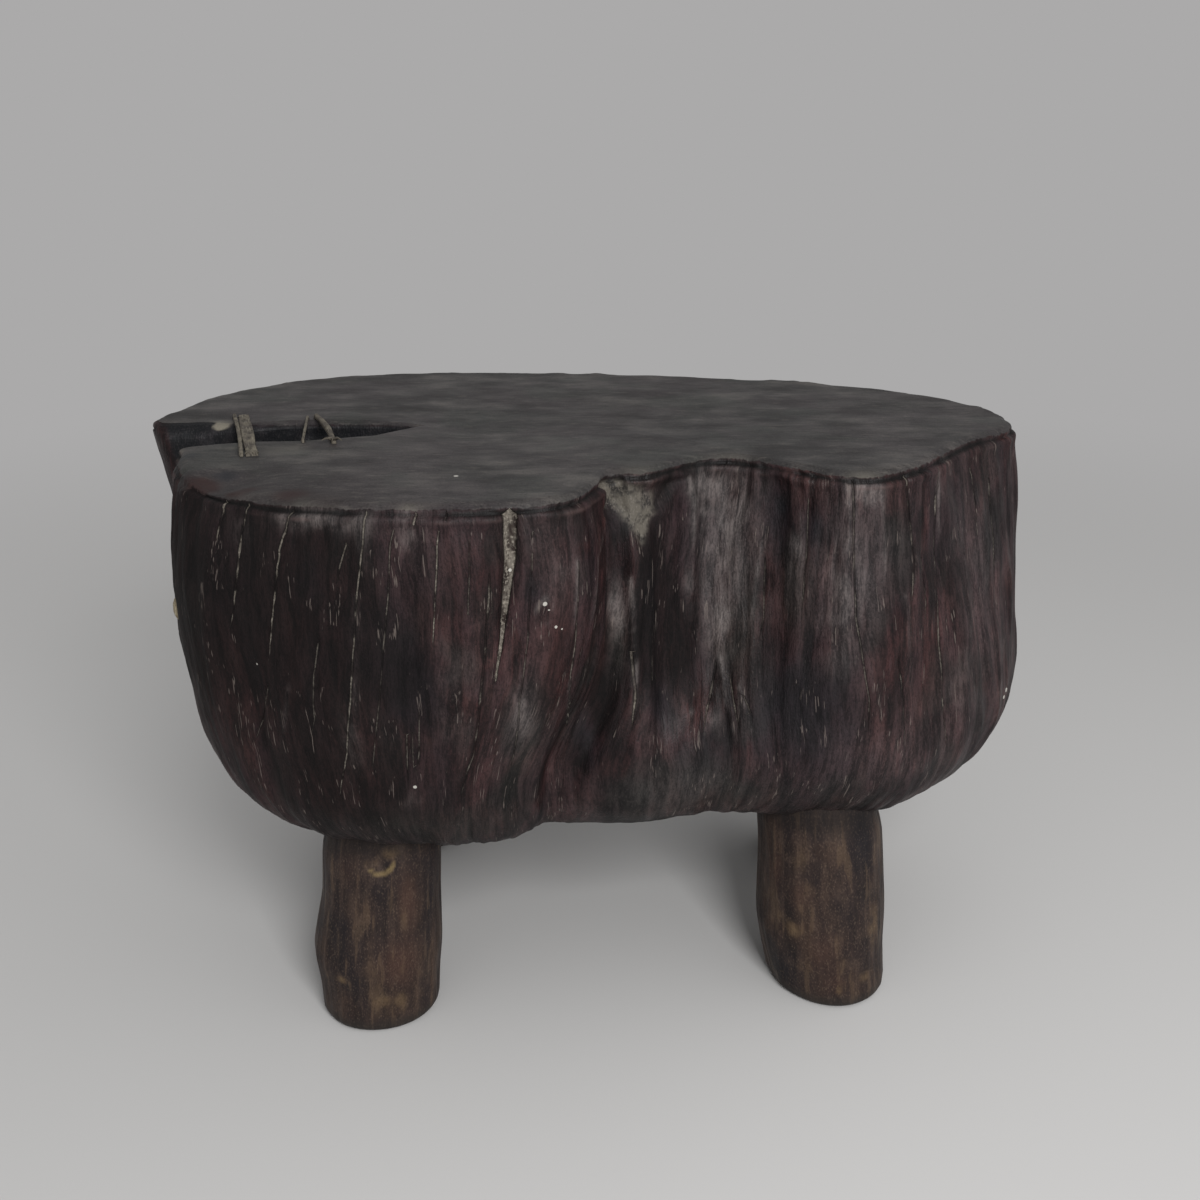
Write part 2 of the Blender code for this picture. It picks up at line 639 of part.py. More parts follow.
def add_peg(seat, rings, collection, cutters, parent):
    """A turned peg with a domed end, driven level into the side of the front lobe."""
    point, outward = side_place(rings, PEG_PLACE_SHARE, PEG_DROP_SHARE)
    radius = PEG_DIAMETER / 2
    profile = []
    for step in range(PEG_DOME_STEPS + 1):
        turn = math.pi / 2 * step / PEG_DOME_STEPS
        profile.append((radius * math.sin(turn), PEG_PROUD * math.cos(turn)))
    shank_end = PEG_PROUD - PEG_LENGTH
    profile += [(radius * PEG_TIP_SHARE, shank_end), (0.0, shank_end)]
    mesh = bpy.data.meshes.new("side_peg")
    edges = [(i, i + 1) for i in range(len(profile) - 1)]
    mesh.from_pydata([(x, 0.0, z) for x, z in profile], edges, [])
    material = plain_material("side_peg_wood", PEG_COLOUR, PEG_ROUGHNESS)
    peg = add_object("side_peg", mesh, collection, parent, material)
    screw = peg.modifiers.new("turned", "SCREW")
    screw.steps = PEG_STEPS
    screw.render_steps = PEG_STEPS
    screw.use_merge_vertices = True
    screw.merge_threshold = PEG_MERGE_REACH
    peg.location = point
    peg.rotation_mode = "QUATERNION"
    peg.rotation_quaternion = outward.to_track_quat("Z", "Y")
    depth = PEG_LENGTH - PEG_PROUD + CLEARANCE
    hole = round_hole(radius + CLEARANCE, depth, PEG_STEPS)
    name = "side_peg_hole_cutter"
    cut_hole(name, hole, seat, point, peg.rotation_quaternion, cutters, parent)


def build_stool():
    clear_scene()
    collection = new_collection("african_wooden_stool")
    cutters = new_collection("cutters")
    stool = bpy.data.objects.new("african_wooden_stool", None)
    collection.objects.link(stool)
    rings = seat_rings()
    seat_material = plain_material("seat_wood", SEAT_COLOUR, SEAT_ROUGHNESS)
    seat = add_object("seat", lofted_mesh("seat", rings), collection, stool, seat_material)
    seat.location.z = UNDERSIDE_HEIGHT
    cut(seat, add_split_cutter(cutters, stool))
    cut(seat, add_crack_cutter(rings, cutters, stool))
    cut(seat, add_flake_cutter(rings, cutters, stool))
    for name, leg in LEGS.items():
        add_leg(name, leg, seat, collection, cutters, stool)
    add_strap(seat, collection, cutters, stool)
    for name, (thickness_share, start, end) in STRANDS.items():
        add_strand(name, thickness_share, (start, end), seat, collection, cutters, stool)
    add_peg(seat, rings, collection, cutters, stool)


build_stool()
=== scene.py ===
import math
import random

import bmesh
import bpy
import numpy as np
from mathutils import Euler, Matrix, Vector, noise
from mathutils.bvhtree import BVHTree


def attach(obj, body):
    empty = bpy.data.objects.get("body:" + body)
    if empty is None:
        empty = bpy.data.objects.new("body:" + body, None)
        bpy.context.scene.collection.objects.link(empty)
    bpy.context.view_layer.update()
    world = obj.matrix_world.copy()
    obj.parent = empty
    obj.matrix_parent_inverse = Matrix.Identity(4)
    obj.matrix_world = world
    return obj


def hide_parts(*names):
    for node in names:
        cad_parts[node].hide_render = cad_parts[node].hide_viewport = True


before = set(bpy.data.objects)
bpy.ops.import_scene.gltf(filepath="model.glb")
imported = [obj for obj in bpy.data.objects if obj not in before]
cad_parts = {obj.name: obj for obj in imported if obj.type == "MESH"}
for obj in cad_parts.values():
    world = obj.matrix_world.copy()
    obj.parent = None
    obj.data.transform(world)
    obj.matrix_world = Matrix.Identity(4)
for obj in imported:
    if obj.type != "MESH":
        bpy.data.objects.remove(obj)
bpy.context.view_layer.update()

# The view
# The stool is seen from its front, a little from above. Marks on the wood are given further
# down as places in the picture of 1200 by 1200, and are cast through this camera.
PICTURE_SIZE = 1200
FOCAL_LENGTH = 1300
SENSOR_WIDTH = 36.0
CAMERA_PLACE = Vector((0.0022, -0.669, 0.4653))
CAMERA_PITCH = 21.5                 # degrees below level
CAMERA_TURN = Euler((math.radians(90 - CAMERA_PITCH), 0.0, 0.0))

camera_data = bpy.data.cameras.new("camera")
camera_data.sensor_width = SENSOR_WIDTH
camera_data.lens = SENSOR_WIDTH * FOCAL_LENGTH / PICTURE_SIZE
camera = bpy.data.objects.new("camera", camera_data)
camera.location = CAMERA_PLACE
camera.rotation_euler = CAMERA_TURN
bpy.context.scene.collection.objects.link(camera)
bpy.context.scene.camera = camera
bpy.context.scene.view_settings.view_transform = "Standard"

# The seat
# A thick slice of one fluted trunk, hewn to shape, smoke-darkened and waxed. Its rim is rounded,
# its sides carry the trunk's ridges, folds and drying cracks, and it has split at the left.
STOOL_HEIGHT = 0.300
SEAT_WIDTH = 0.473
SEAT_DEPTH = 0.287
SEAT_THICKNESS = 0.193
RIM_ROUND = 0.006
HOLLOW_DEPTH = 0.0015
RIPPLE_DEPTH = 0.0012
RIPPLE_WAVES = ((23, 0.6, 0.3), (37, 0.4, 1.9))     # turns round the trunk, share, start
RIPPLE_START = 0.13                 # share of the thickness over which the ripple begins
WAIST_DROP = 0.48
BASE_DROP = 0.73
SPINE_SHARE = 0.30
CLEARANCE = 0.0003
MERGE_REACH = 1e-6
CUTTER_MERGE_REACH = 1e-5
HALF_PLAN = np.array((SEAT_WIDTH, SEAT_DEPTH)) / 2

# The trunk's outline at its top, waist, base and underside, in shares of half its width and depth
TOP_OUTLINE = (
    (0.945, 0.110), (0.935, 0.265), (0.846, 0.50), (0.700, 0.675), (0.524, 0.805),
    (0.315, 0.89), (0.061, 0.965), (-0.192, 1.00), (-0.425, 1.00), (-0.645, 0.915),
    (-0.812, 0.76), (-0.932, 0.53), (-0.985, 0.27), (-1.000, 0.06), (-0.968, -0.08),
    (-0.893, -0.25), (-0.860, -0.38), (-0.834, -0.54), (-0.779, -0.715), (-0.687, -0.857),
    (-0.573, -0.95), (-0.425, -0.99), (-0.256, -1.00), (-0.108, -0.96), (-0.032, -0.877),
    (0.002, -0.753), (0.028, -0.625), (0.095, -0.605), (0.155, -0.527), (0.221, -0.438),
    (0.277, -0.418), (0.340, -0.467), (0.425, -0.566), (0.493, -0.635), (0.568, -0.625),
    (0.653, -0.527), (0.721, -0.379), (0.818, -0.172), (0.894, -0.073), (0.932, -0.004),
)
WAIST_OUTLINE = (
    (0.985, 0.06), (0.972, 0.24), (0.878, 0.48), (0.718, 0.665), (0.535, 0.795),
    (0.322, 0.88), (0.064, 0.965), (-0.190, 0.985), (-0.418, 0.975), (-0.626, 0.865),
    (-0.778, 0.70), (-0.880, 0.485), (-0.918, 0.265), (-0.918, 0.075), (-0.888, -0.07),
    (-0.855, -0.18), (-0.861, -0.335), (-0.865, -0.52), (-0.818, -0.715), (-0.714, -0.86),
    (-0.588, -0.96), (-0.431, -1.00), (-0.262, -1.00), (-0.116, -0.96), (-0.043, -0.885),
    (-0.008, -0.78), (0.024, -0.70), (0.098, -0.69), (0.145, -0.645), (0.190, -0.575),
    (0.252, -0.545), (0.330, -0.59), (0.423, -0.67), (0.508, -0.725), (0.596, -0.705),
    (0.690, -0.62), (0.780, -0.475), (0.868, -0.315), (0.935, -0.165), (0.973, -0.045),
)
BASE_OUTLINE = (
    (1.000, 0.05), (0.985, 0.24), (0.890, 0.485), (0.722, 0.675), (0.530, 0.79),
    (0.320, 0.875), (0.064, 0.945), (-0.182, 0.96), (-0.402, 0.935), (-0.598, 0.83),
    (-0.735, 0.67), (-0.820, 0.46), (-0.855, 0.26), (-0.860, 0.09), (-0.842, -0.055),
    (-0.818, -0.18), (-0.835, -0.335), (-0.833, -0.52), (-0.785, -0.695), (-0.688, -0.845),
    (-0.572, -0.935), (-0.432, -0.97), (-0.285, -0.965), (-0.180, -0.915), (-0.120, -0.83),
    (-0.095, -0.715), (-0.040, -0.73), (0.055, -0.765), (0.138, -0.75), (0.205, -0.715),
    (0.268, -0.69), (0.340, -0.70), (0.428, -0.735), (0.515, -0.745), (0.605, -0.730),
    (0.705, -0.665), (0.808, -0.54), (0.900, -0.36), (0.960, -0.19), (0.993, -0.055),
)
UNDER_OUTLINE = (
    (0.810, 0.03), (0.795, 0.17), (0.720, 0.34), (0.600, 0.46), (0.455, 0.51),
    (0.285, 0.57), (0.062, 0.60), (-0.165, 0.60), (-0.360, 0.57), (-0.505, 0.50),
    (-0.585, 0.41), (-0.630, 0.29), (-0.645, 0.17), (-0.640, 0.06), (-0.620, -0.04),
    (-0.600, -0.13), (-0.605, -0.23), (-0.595, -0.34), (-0.565, -0.44), (-0.505, -0.53),
    (-0.440, -0.59), (-0.360, -0.62), (-0.270, -0.63), (-0.200, -0.62), (-0.155, -0.58),
    (-0.115, -0.55), (-0.055, -0.535), (0.040, -0.535), (0.118, -0.52), (0.178, -0.49),
    (0.236, -0.46), (0.295, -0.45), (0.364, -0.445), (0.440, -0.43), (0.515, -0.42),
    (0.600, -0.39), (0.675, -0.31), (0.740, -0.21), (0.782, -0.12), (0.803, -0.04),
)
SPAN_SAMPLES = 21


def smooth_loop(shares):
    """A closed curve through an outline's places, in metres."""
    start = np.array(shares) * HALF_PLAN
    before, end, after = (np.roll(start, k, axis=0)[:, None] for k in (1, -1, -2))
    start = start[:, None]
    t = (np.arange(SPAN_SAMPLES) / SPAN_SAMPLES)[None, :, None]
    bend = (before * 2 - start * 5 + end * 4 - after) * t ** 2
    twist = (start * 3 - before - end * 3 + after) * t ** 3
    return (start + ((end - before) * t + bend + twist) / 2).reshape(-1, 2)


def spine_point(plan):
    """For each place, the nearest one of a short line along the middle of the seat."""
    spine_end = SPINE_SHARE * HALF_PLAN[0]
    return np.stack((np.clip(plan[:, 0], -spine_end, spine_end), np.zeros(len(plan))), axis=1)


def drawn_in(plan, inset):
    """An outline moved inward by an inset."""
    inward = spine_point(plan) - plan
    return plan + inward / np.linalg.norm(inward, axis=1, keepdims=True) * inset


def soft_step(value, low, high):
    """Goes smoothly from 0 to 1 as a value goes from low to high."""
    t = np.clip((value - low) / (high - low), 0.0, 1.0)
    return t * t * (3 - 2 * t)


def bell(offset, width):
    """Is 1 where the offset is 0, and falls off smoothly over a width on both sides."""
    return np.exp(-(offset / width) ** 2)


top, waist, base, under = (
    smooth_loop(outline) for outline in (TOP_OUTLINE, WAIST_OUTLINE, BASE_OUTLINE, UNDER_OUTLINE)
)
columns = len(top)
column_share = np.arange(columns) / columns
ripple = RIPPLE_DEPTH * sum(
    part * np.sin(turns * math.tau * column_share + start) for turns, part, start in RIPPLE_WAVES
)


def wall_plan(drop):
    """The seat's outline at a drop below its top, as the trunk's flutes change downward."""
    share = drop / SEAT_THICKNESS
    to_top, to_waist, to_base = share, share - WAIST_DROP, share - BASE_DROP
    plan = top * (to_waist * to_base / (WAIST_DROP * BASE_DROP))
    plan = plan + waist * (to_top * to_base / (WAIST_DROP * (WAIST_DROP - BASE_DROP)))
    plan = plan + base * (to_top * to_waist / (BASE_DROP * (BASE_DROP - WAIST_DROP)))
    return drawn_in(plan, (ripple * min(1.0, share / RIPPLE_START))[:, None])


# Rows of the skin from the middle of the top, over the rim and down the wall, to the underside:
# each has a drop, an outline, and how much of the trunk's relief it carries
RIM_ROWS = 8
UPPER_WALL_ROWS = 11
UPPER_WALL_STEP = 0.0012
LOWER_WALL_ROWS = 32
BASE_ROWS = 18
HOLLOW_EDGE = (0.2, 0.6)            # shares of the outline between which the hollow rises
UNDERSIDE_RELIEF = 0.3
SMOOTHINGS = 10
SMOOTH_START = 12                   # rows below the rim that keep their form
rows = []
rim_edge = drawn_in(wall_plan(0.0), RIM_ROUND)
TOP_SHARES = (
    0.0, 0.015, 0.035, 0.06, 0.09, 0.125, 0.165, 0.22, 0.32, 0.42,
    0.52, 0.60, 0.68, 0.75, 0.81, 0.86, 0.90, 0.935, 0.965, 0.985,
)
UNDER_SHARES = (0.9, 0.75, 0.55, 0.35, 0.22, 0.165, 0.125, 0.09, 0.06, 0.035, 0.015, 0.0)
INNER_CENTRE = (-0.010, 0.025)      # m, a place from which the whole outline can be seen


def inner_plan(outline, share):
    """A smaller outline of the same form inside another."""
    return INNER_CENTRE + (outline - INNER_CENTRE) * share


for share in TOP_SHARES:
    drop = HOLLOW_DEPTH * (1 - soft_step(share, *HOLLOW_EDGE))
    rows.append((drop, inner_plan(rim_edge, share), 0.0))
for step in range(RIM_ROWS):
    turn = math.pi / 2 * step / RIM_ROWS
    drop = RIM_ROUND * (1 - math.cos(turn))
    rows.append((drop, drawn_in(wall_plan(drop), RIM_ROUND * (1 - math.sin(turn))), math.sin(turn)))
rim_row = len(rows) - RIM_ROWS
wall_drops = [RIM_ROUND + UPPER_WALL_STEP * step for step in range(UPPER_WALL_ROWS)]
wall_foot = BASE_DROP * SEAT_THICKNESS
wall_drops += list(np.linspace(wall_drops[-1], wall_foot, LOWER_WALL_ROWS + 1)[1:])
rows += [(drop, wall_plan(drop), 1.0) for drop in wall_drops]
wall_base = wall_plan(wall_foot)
for step in range(1, BASE_ROWS + 1):
    turn = math.pi / 2 * step / BASE_ROWS
    drop = wall_foot + (SEAT_THICKNESS - wall_foot) * math.sin(turn)
    rows.append((drop, wall_base + (under - wall_base) * (1 - math.cos(turn)), 1.0))
base_row = len(rows)
for share in UNDER_SHARES:
    carried = UNDERSIDE_RELIEF * soft_step(share, 0.0, 0.3)
    rows.append((SEAT_THICKNESS, inner_plan(under, share), carried))

skin = np.array([
    np.concatenate((plan, np.full((columns, 1), STOOL_HEIGHT - drop)), axis=1)
    for drop, plan, _ in rows
])
for axis, size in ((0, SEAT_WIDTH), (1, SEAT_DEPTH)):
    low, high = skin[..., axis].min(), skin[..., axis].max()
    skin[..., axis] = (skin[..., axis] - (low + high) / 2) * size / (high - low)
relief_share = np.array([share for *_, share in rows])[:, None]
first, last = rim_row + RIM_ROWS + SMOOTH_START, base_row - 1
for _ in range(SMOOTHINGS):
    above, beneath = skin[first - 1:last - 1], skin[first + 1:last + 1]
    skin[first:last] = (above + 2 * skin[first:last] + beneath) / 4

# Places on the skin: the distance round it in each column, the distance down it in each row,
# and where a point of the grain lies, which follows the columns so that streaks run with the flutes
MIDDLE_ROW = 26                     # rows below the rim, about halfway down the wall
middle_row = rim_row + RIM_ROWS + MIDDLE_ROW
steps = np.linalg.norm(np.roll(skin[middle_row], -1, axis=0) - skin[middle_row], axis=1)
girth = steps.sum()
round_place = np.concatenate(((0.0,), np.cumsum(steps)[:-1]))
drops = np.linalg.norm(np.diff(skin, axis=0), axis=2).mean(axis=1)
down_place = np.concatenate(((0.0,), np.cumsum(drops)))
down_place -= down_place[rim_row]
grain = np.empty_like(skin)
grain[..., :2] = skin[middle_row][None, :, :2]
grain[..., 2] = -down_place[:, None]


def skin_normals(points):
    """The outward direction at each point of a skin."""
    down = np.gradient(points, axis=0)
    along = np.roll(points, -1, axis=1) - np.roll(points, 1, axis=1)
    across = np.cross(along, -down)
    return across / np.maximum(np.linalg.norm(across, axis=2, keepdims=True), 1e-12)


def lumps(places, size, length, seed):
    """Smooth noise from -1 to 1 with lumps of a size, drawn out to a length down the grain."""
    scaled = places.reshape(-1, 3) / (size, size, length) + seed * 7.31
    return np.array([noise.noise(point) for point in scaled.tolist()]).reshape(places.shape[:-1])


# The streaks waver a little: by how much, and over which size and length
WAVERS = ((0.0030, 0.035, 0.045, 61), (0.0010, 0.012, 0.015, 63))
for axis in (0, 1):
    for reach, size, length, seed in WAVERS:
        grain[..., axis] += reach * lumps(skin, size, length, seed + axis)


def surface_tree(*names):
    """The solids of the named CAD nodes, ready for casting rays."""
    points, faces = [], []
    for name in names:
        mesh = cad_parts[name].data
        faces += [[len(points) + i for i in polygon.vertices] for polygon in mesh.polygons]
        points += [vertex.co.copy() for vertex in mesh.vertices]
    return BVHTree.FromPolygons(points, faces)


def seen_at(tree, place):
    """The point of a surface that the camera sees at a place of the picture."""
    ray = Vector((place[0] - PICTURE_SIZE / 2, PICTURE_SIZE / 2 - place[1], -FOCAL_LENGTH))
    ray.rotate(CAMERA_TURN)
    return tree.ray_cast(CAMERA_PLACE, ray.normalized())[0]


seat_tree = surface_tree("seat")


def skin_place(place):
    """The row and column of the seat's skin at a place of the picture."""
    hit = seen_at(seat_tree, place)
    nearest = ((skin - np.array(hit)) ** 2).sum(axis=2).argmin()
    return divmod(int(nearest), columns)


# Drying cracks: half width and depth in millimetres, paleness, then the way down the picture
CRACKS = (
    (4.6, 4.6, 1.0, (
        (515, 492), (512, 520), (510, 560), (508, 590), (504, 624), (498, 672), (494, 716),
    )),
    (0.6, 1.2, 0.7, ((224, 492), (221, 510), (217, 532), (214, 556))),
    (0.6, 1.3, 0.7, ((251, 498), (244, 514), (238, 540), (235, 570), (231, 604), (225, 640))),
    (0.6, 1.4, 0.8, (
        (300, 502), (288, 522), (279, 545), (273, 575), (270, 615), (268, 650), (266, 680),
    )),
    (0.4, 1.0, 0.35, ((264, 690), (258, 720), (249, 750))),
    (0.5, 1.2, 0.6, (
        (368, 512), (361, 545), (356, 600), (353, 640), (350, 700), (346, 760), (341, 812),
    )),
    (0.4, 1.0, 0.5, ((346, 545), (340, 575), (334, 606))),
    (0.4, 1.0, 0.3, ((316, 640), (315, 680), (313, 720), (308, 758))),
    (0.6, 1.2, 0.7, ((418, 501), (415, 516), (413, 534))),
    (0.6, 1.0, 0.6, ((449, 501), (446, 514), (444, 526))),
    (0.4, 1.1, 0.7, ((441, 530), (438, 570), (436, 620), (433, 680))),
    (0.4, 0.9, 0.4, ((419, 712), (418, 750), (416, 800))),
    (0.4, 0.9, 0.4, ((405, 735), (408, 765), (408, 800))),
    (0.6, 1.0, 0.4, ((489, 570), (486, 620), (481, 690), (472, 755), (461, 812))),
    (0.4, 0.8, 0.3, ((393, 530), (388, 600), (381, 700), (372, 790))),
    (0.4, 0.8, 0.3, ((470, 540), (468, 600), (464, 660))),
    (0.4, 0.8, 0.5, ((580, 560), (578, 620), (572, 690), (566, 734))),
    (0.9, 1.2, 0.5, ((573, 688), (570, 712), (566, 736))),
    (0.4, 0.6, 0.3, ((534, 530), (530, 620), (520, 700), (508, 790))),
    (0.8, 1.2, 0.5, ((631, 655), (635, 700), (631, 738))),
    (0.4, 0.8, 0.35, ((655, 600), (657, 660), (652, 720))),
    (0.5, 1.1, 0.35, ((716, 668), (711, 700), (703, 746))),
    (0.5, 1.1, 0.35, ((730, 676), (736, 710), (741, 748))),
    (0.5, 0.9, 0.3, ((744, 692), (750, 712), (754, 726))),
    (0.5, 1.3, 0.30, ((853, 484), (854, 560), (856, 620), (862, 645), (868, 700), (868, 748))),
    (0.6, 1.3, 0.45, ((906, 478), (911, 520), (914, 560), (912, 622))),
    (0.5, 1.3, 0.5, ((938, 470), (940, 540), (941, 618), (946, 700), (947, 760))),
    (0.4, 0.8, 0.4, ((972, 470), (977, 500), (978, 540))),
    (0.4, 0.8, 0.35, ((991, 480), (996, 540), (996, 600))),
    (0.4, 0.8, 0.3, ((925, 560), (929, 600), (928, 640))),
    (0.4, 0.7, 0.3, ((900, 660), (905, 700), (904, 760))),
    (0.4, 0.7, 0.3, ((808, 500), (806, 560), (800, 640))),
    (0.4, 0.7, 0.3, ((765, 560), (762, 620), (757, 660))),
)
# Broad folds and ridges of the trunk: half width and depth in millimetres (raised where it is
# negative), then the way down the picture
FOLDS = (
    (6.5, 4.2, ((606, 506), (613, 540), (616, 630), (606, 696), (580, 756), (558, 806))),
    (6.5, 3.6, ((657, 520), (664, 560), (667, 630), (670, 700), (660, 748))),
    (4.0, -1.6, ((688, 474), (692, 540), (694, 610), (690, 660))),
    (4.5, -1.2, ((640, 560), (636, 640), (634, 720))),
    (6.0, 1.6, ((778, 480), (776, 560), (770, 640), (768, 700))),
    (5.0, -1.1, ((850, 490), (848, 560), (846, 650))),
    (7.0, 1.4, ((520, 660), (514, 720), (500, 800))),
    (5.0, -1.2, ((478, 660), (466, 740), (455, 806))),
    (6.0, 1.4, ((700, 700), (690, 745), (640, 780))),
    (5.0, 1.0, ((275, 560), (262, 660), (258, 740))),
    (6.0, -1.0, ((310, 600), (300, 700), (300, 780))),
    (5.0, 0.9, ((925, 480), (928, 600), (930, 740))),
    (5.0, 0.9, ((401, 520), (396, 600), (392, 700))),
    (4.0, 0.8, ((718, 660), (712, 700), (706, 750))),
    (5.0, -0.9, ((726, 640), (722, 700), (720, 750))),
)
# Sharp ridges, rubbed pale and with painted highlights along them: half width and height in
# millimetres, paleness, then their way
RIDGES = (
    (2.6, 0.9, 0.55, ((611, 520), (615, 560), (617, 610), (615, 655))),
    (1.3, 0.6, 1.0, ((630, 585), (634, 640), (635, 700), (632, 740))),
    (1.2, 0.7, 0.9, ((573, 682), (570, 710), (566, 738))),
    (1.0, 0.5, 0.7, ((579, 560), (577, 600), (573, 650))),
    (1.6, 0.7, 0.7, ((693, 715), (680, 740), (655, 764))),
    (1.3, 0.8, 0.8, ((720, 662), (727, 700), (733, 730), (735, 758))),
    (1.1, 0.6, 0.7, ((740, 688), (747, 715), (753, 742))),
    (1.4, 0.7, 0.7, ((689, 478), (692, 520), (694, 568))),
    (1.2, 0.5, 0.6, ((704, 476), (703, 520), (701, 562))),
    (3.2, 0.7, 0.55, ((525, 664), (523, 700), (519, 742))),
    (1.2, 0.6, 0.6, ((760, 545), (755, 590), (747, 650))),
    (2.2, 0.5, 0.30, ((357, 600), (355, 650), (352, 720), (344, 790))),
    (3.0, 0.8, 0.35, ((367, 512), (364, 550), (360, 600))),
    (4.0, 0.9, 0.15, ((482, 600), (478, 680), (468, 750), (458, 808))),
    (1.6, 0.6, 0.6, ((606, 512), (600, 560), (590, 640))),
    (1.4, 0.6, 0.5, ((800, 516), (797, 560), (792, 596))),
    (1.6, 0.7, 0.5, ((846, 482), (850, 540), (848, 600))),
    (1.4, 0.6, 0.5, ((880, 482), (884, 540), (886, 610))),
    (1.2, 0.6, 0.5, ((938, 474), (941, 520), (943, 560))),
    (1.8, 0.5, 0.4, ((905, 600), (912, 660), (914, 720))),
    (1.6, 0.5, 0.35, ((965, 560), (970, 620), (968, 690))),
    (1.6, 0.6, 0.4, ((289, 690), (286, 730), (282, 760))),
)
HIDDEN_CRACKS = 46                  # more cracks on the back, where the photograph shows nothing
CRACK_SEED = 11
ROUND_END = 0.003                   # m over which a crack begins
LONG_END = 0.030                    # m over which it fades out
CRACK_REACH = 0.0030                # m beside a crack in which the material may draw it
CRACK_START = 0.0075                # m below the rim, past the rim's dark band
ENDED = 40                          # half widths by which a faded end counts as farther away
BROAD_CRACK = 2                     # mm of half width above which a crack narrows downward
BROAD_NARROWING = 0.86
BROAD_SPAN = (0.002, 0.092)         # m below the rim over which it narrows


def path_distance(picture_path):
    """How far each point of the skin lies from a way down it, and how much the way's ends fade."""
    marks = sorted(skin_place(place) for place in picture_path)
    return row_distance([row for row, _ in marks], [column for _, column in marks])


def row_distance(path_rows, path_columns):
    """The same for a way given by rows and columns of the skin."""
    way = np.interp(np.arange(len(rows)), path_rows, np.array(path_columns, float))
    middle = np.interp(way, np.arange(columns), round_place)[:, None]
    offset = (round_place[None] - middle + girth / 2) % girth - girth / 2
    offset = offset * (local_steps / steps[None])
    start, end = np.interp((path_rows[0], path_rows[-1]), np.arange(len(rows)), down_place)
    start = max(start, CRACK_START)
    start_fade = soft_step(down_place, start - ROUND_END, start)
    end_fade = 1 - soft_step(down_place, end - min(LONG_END, (end - start) / 2), end)
    return offset, (start_fade * end_fade)[:, None]


local_steps = np.linalg.norm(np.roll(skin, -1, axis=1) - skin, axis=2)
crack_place = np.full(skin.shape[:2], 1.0)
crack_width = np.zeros(skin.shape[:2])
crack_pale = np.zeros(skin.shape[:2])
crack_reach = np.full(skin.shape[:2], 1e9)
sunk = np.zeros(skin.shape[:2])


def add_crack(half_width, depth, pale, offset, fade):
    """Sinks a crack into the skin, and notes its place, width and paleness where it is nearest."""
    half_width, depth = half_width / 1000, depth / 1000
    reach = np.abs(offset) / half_width + (1 - fade) * ENDED
    near = np.clip(1 - (offset / max(CRACK_REACH, 1.5 * half_width)) ** 2, 0.0, 1.0)
    nearer = reach < crack_reach
    for layer, values in (
        (crack_reach, reach), (crack_place, offset), (crack_width, half_width * fade * near),
        (crack_pale, pale),
    ):
        np.copyto(layer, values, where=nearer)
    np.maximum(sunk, depth * fade * bell(offset, max(half_width * 1.1, 0.0009)), out=sunk)


for half_width, depth, pale, path in CRACKS:
    offset, fade = path_distance(path)
    if half_width > BROAD_CRACK:
        offset = offset / (1 - BROAD_NARROWING * soft_step(down_place, *BROAD_SPAN)[:, None])
    add_crack(half_width, depth, pale, offset, fade)
dice = random.Random(CRACK_SEED)
for _ in range(HIDDEN_CRACKS):
    column = dice.uniform(0.02, 0.37) * columns
    first = rim_row + dice.choice((0, 1, 3, dice.uniform(8, 30)))
    last = min(first + dice.uniform(8, 42), base_row - 6)
    lean = dice.uniform(-6, 6)
    path = [(first, column), ((first + last) / 2, column + lean), (last, column + lean * 1.6)]
    offset, fade = row_distance(*zip(*path))
    add_crack(dice.uniform(0.4, 1.1), dice.uniform(0.7, 1.6), dice.uniform(0.2, 0.6), offset, fade)
for half_width, depth, path in FOLDS:
    offset, fade = path_distance(path)
    sunk = sunk + depth / 1000 * fade * bell(offset, half_width / 1000)
rubbed_ridge_and_highlight = np.zeros(skin.shape[:2])
for half_width, height, paleness, path in RIDGES:
    offset, fade = path_distance(path)
    edge = fade * np.exp(-np.abs(offset / (half_width / 1000)) ** 1.5)
    sunk = sunk - height / 1000 * edge
    rubbed_ridge_and_highlight = np.maximum(rubbed_ridge_and_highlight, paleness * edge)

# A triangular flake is broken off the rim at the head of the furrow
FLAKE_CORNERS = ((596, 482), (642, 548), (688, 477))
FLAKE_DEPTH = 0.0032
flake_marks = [skin_place(place) for place in FLAKE_CORNERS]
flake = np.full(skin.shape[:2], 1.0)
for (row_a, column_a), (row_b, column_b) in zip(flake_marks, flake_marks[1:] + flake_marks[:1]):
    start = np.array((round_place[column_a], down_place[row_a]))
    run = np.array((round_place[column_b], down_place[row_b])) - start
    side = ((round_place[None] - start[0]) * run[1] - (down_place[:, None] - start[1]) * run[0])
    flake = np.minimum(flake, side / np.linalg.norm(run))
flake_share = soft_step(flake + 0.0012 * lumps(grain, 0.006, 0.010, 21), -0.0008, 0.0045)


def long_axis(node):
    """The middle of a CAD node and the way its longest side runs."""
    points = np.array([vertex.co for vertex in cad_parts[node].data.vertices])
    points = np.unique(points.round(6), axis=0)
    low, high = (Vector(corner) for corner in (points.min(axis=0), points.max(axis=0)))
    _, directions = np.linalg.eigh(np.cov(points.T))
    return (low + high) / 2, Vector(directions[:, 2])


PEG_LENGTH = 0.026
PEG_PROUD = 0.0030
PEG_RADIUS = 0.0060
PEG_BED = 0.011                     # m round the peg in which the skin keeps its place
peg_middle, peg_way = long_axis("side_peg")
if peg_way.x > 0:
    peg_way.negate()
peg_turn = peg_way.to_track_quat("Z", "Y").to_matrix().to_4x4()
peg_mouth = peg_middle + peg_way * (PEG_LENGTH / 2 - PEG_PROUD)

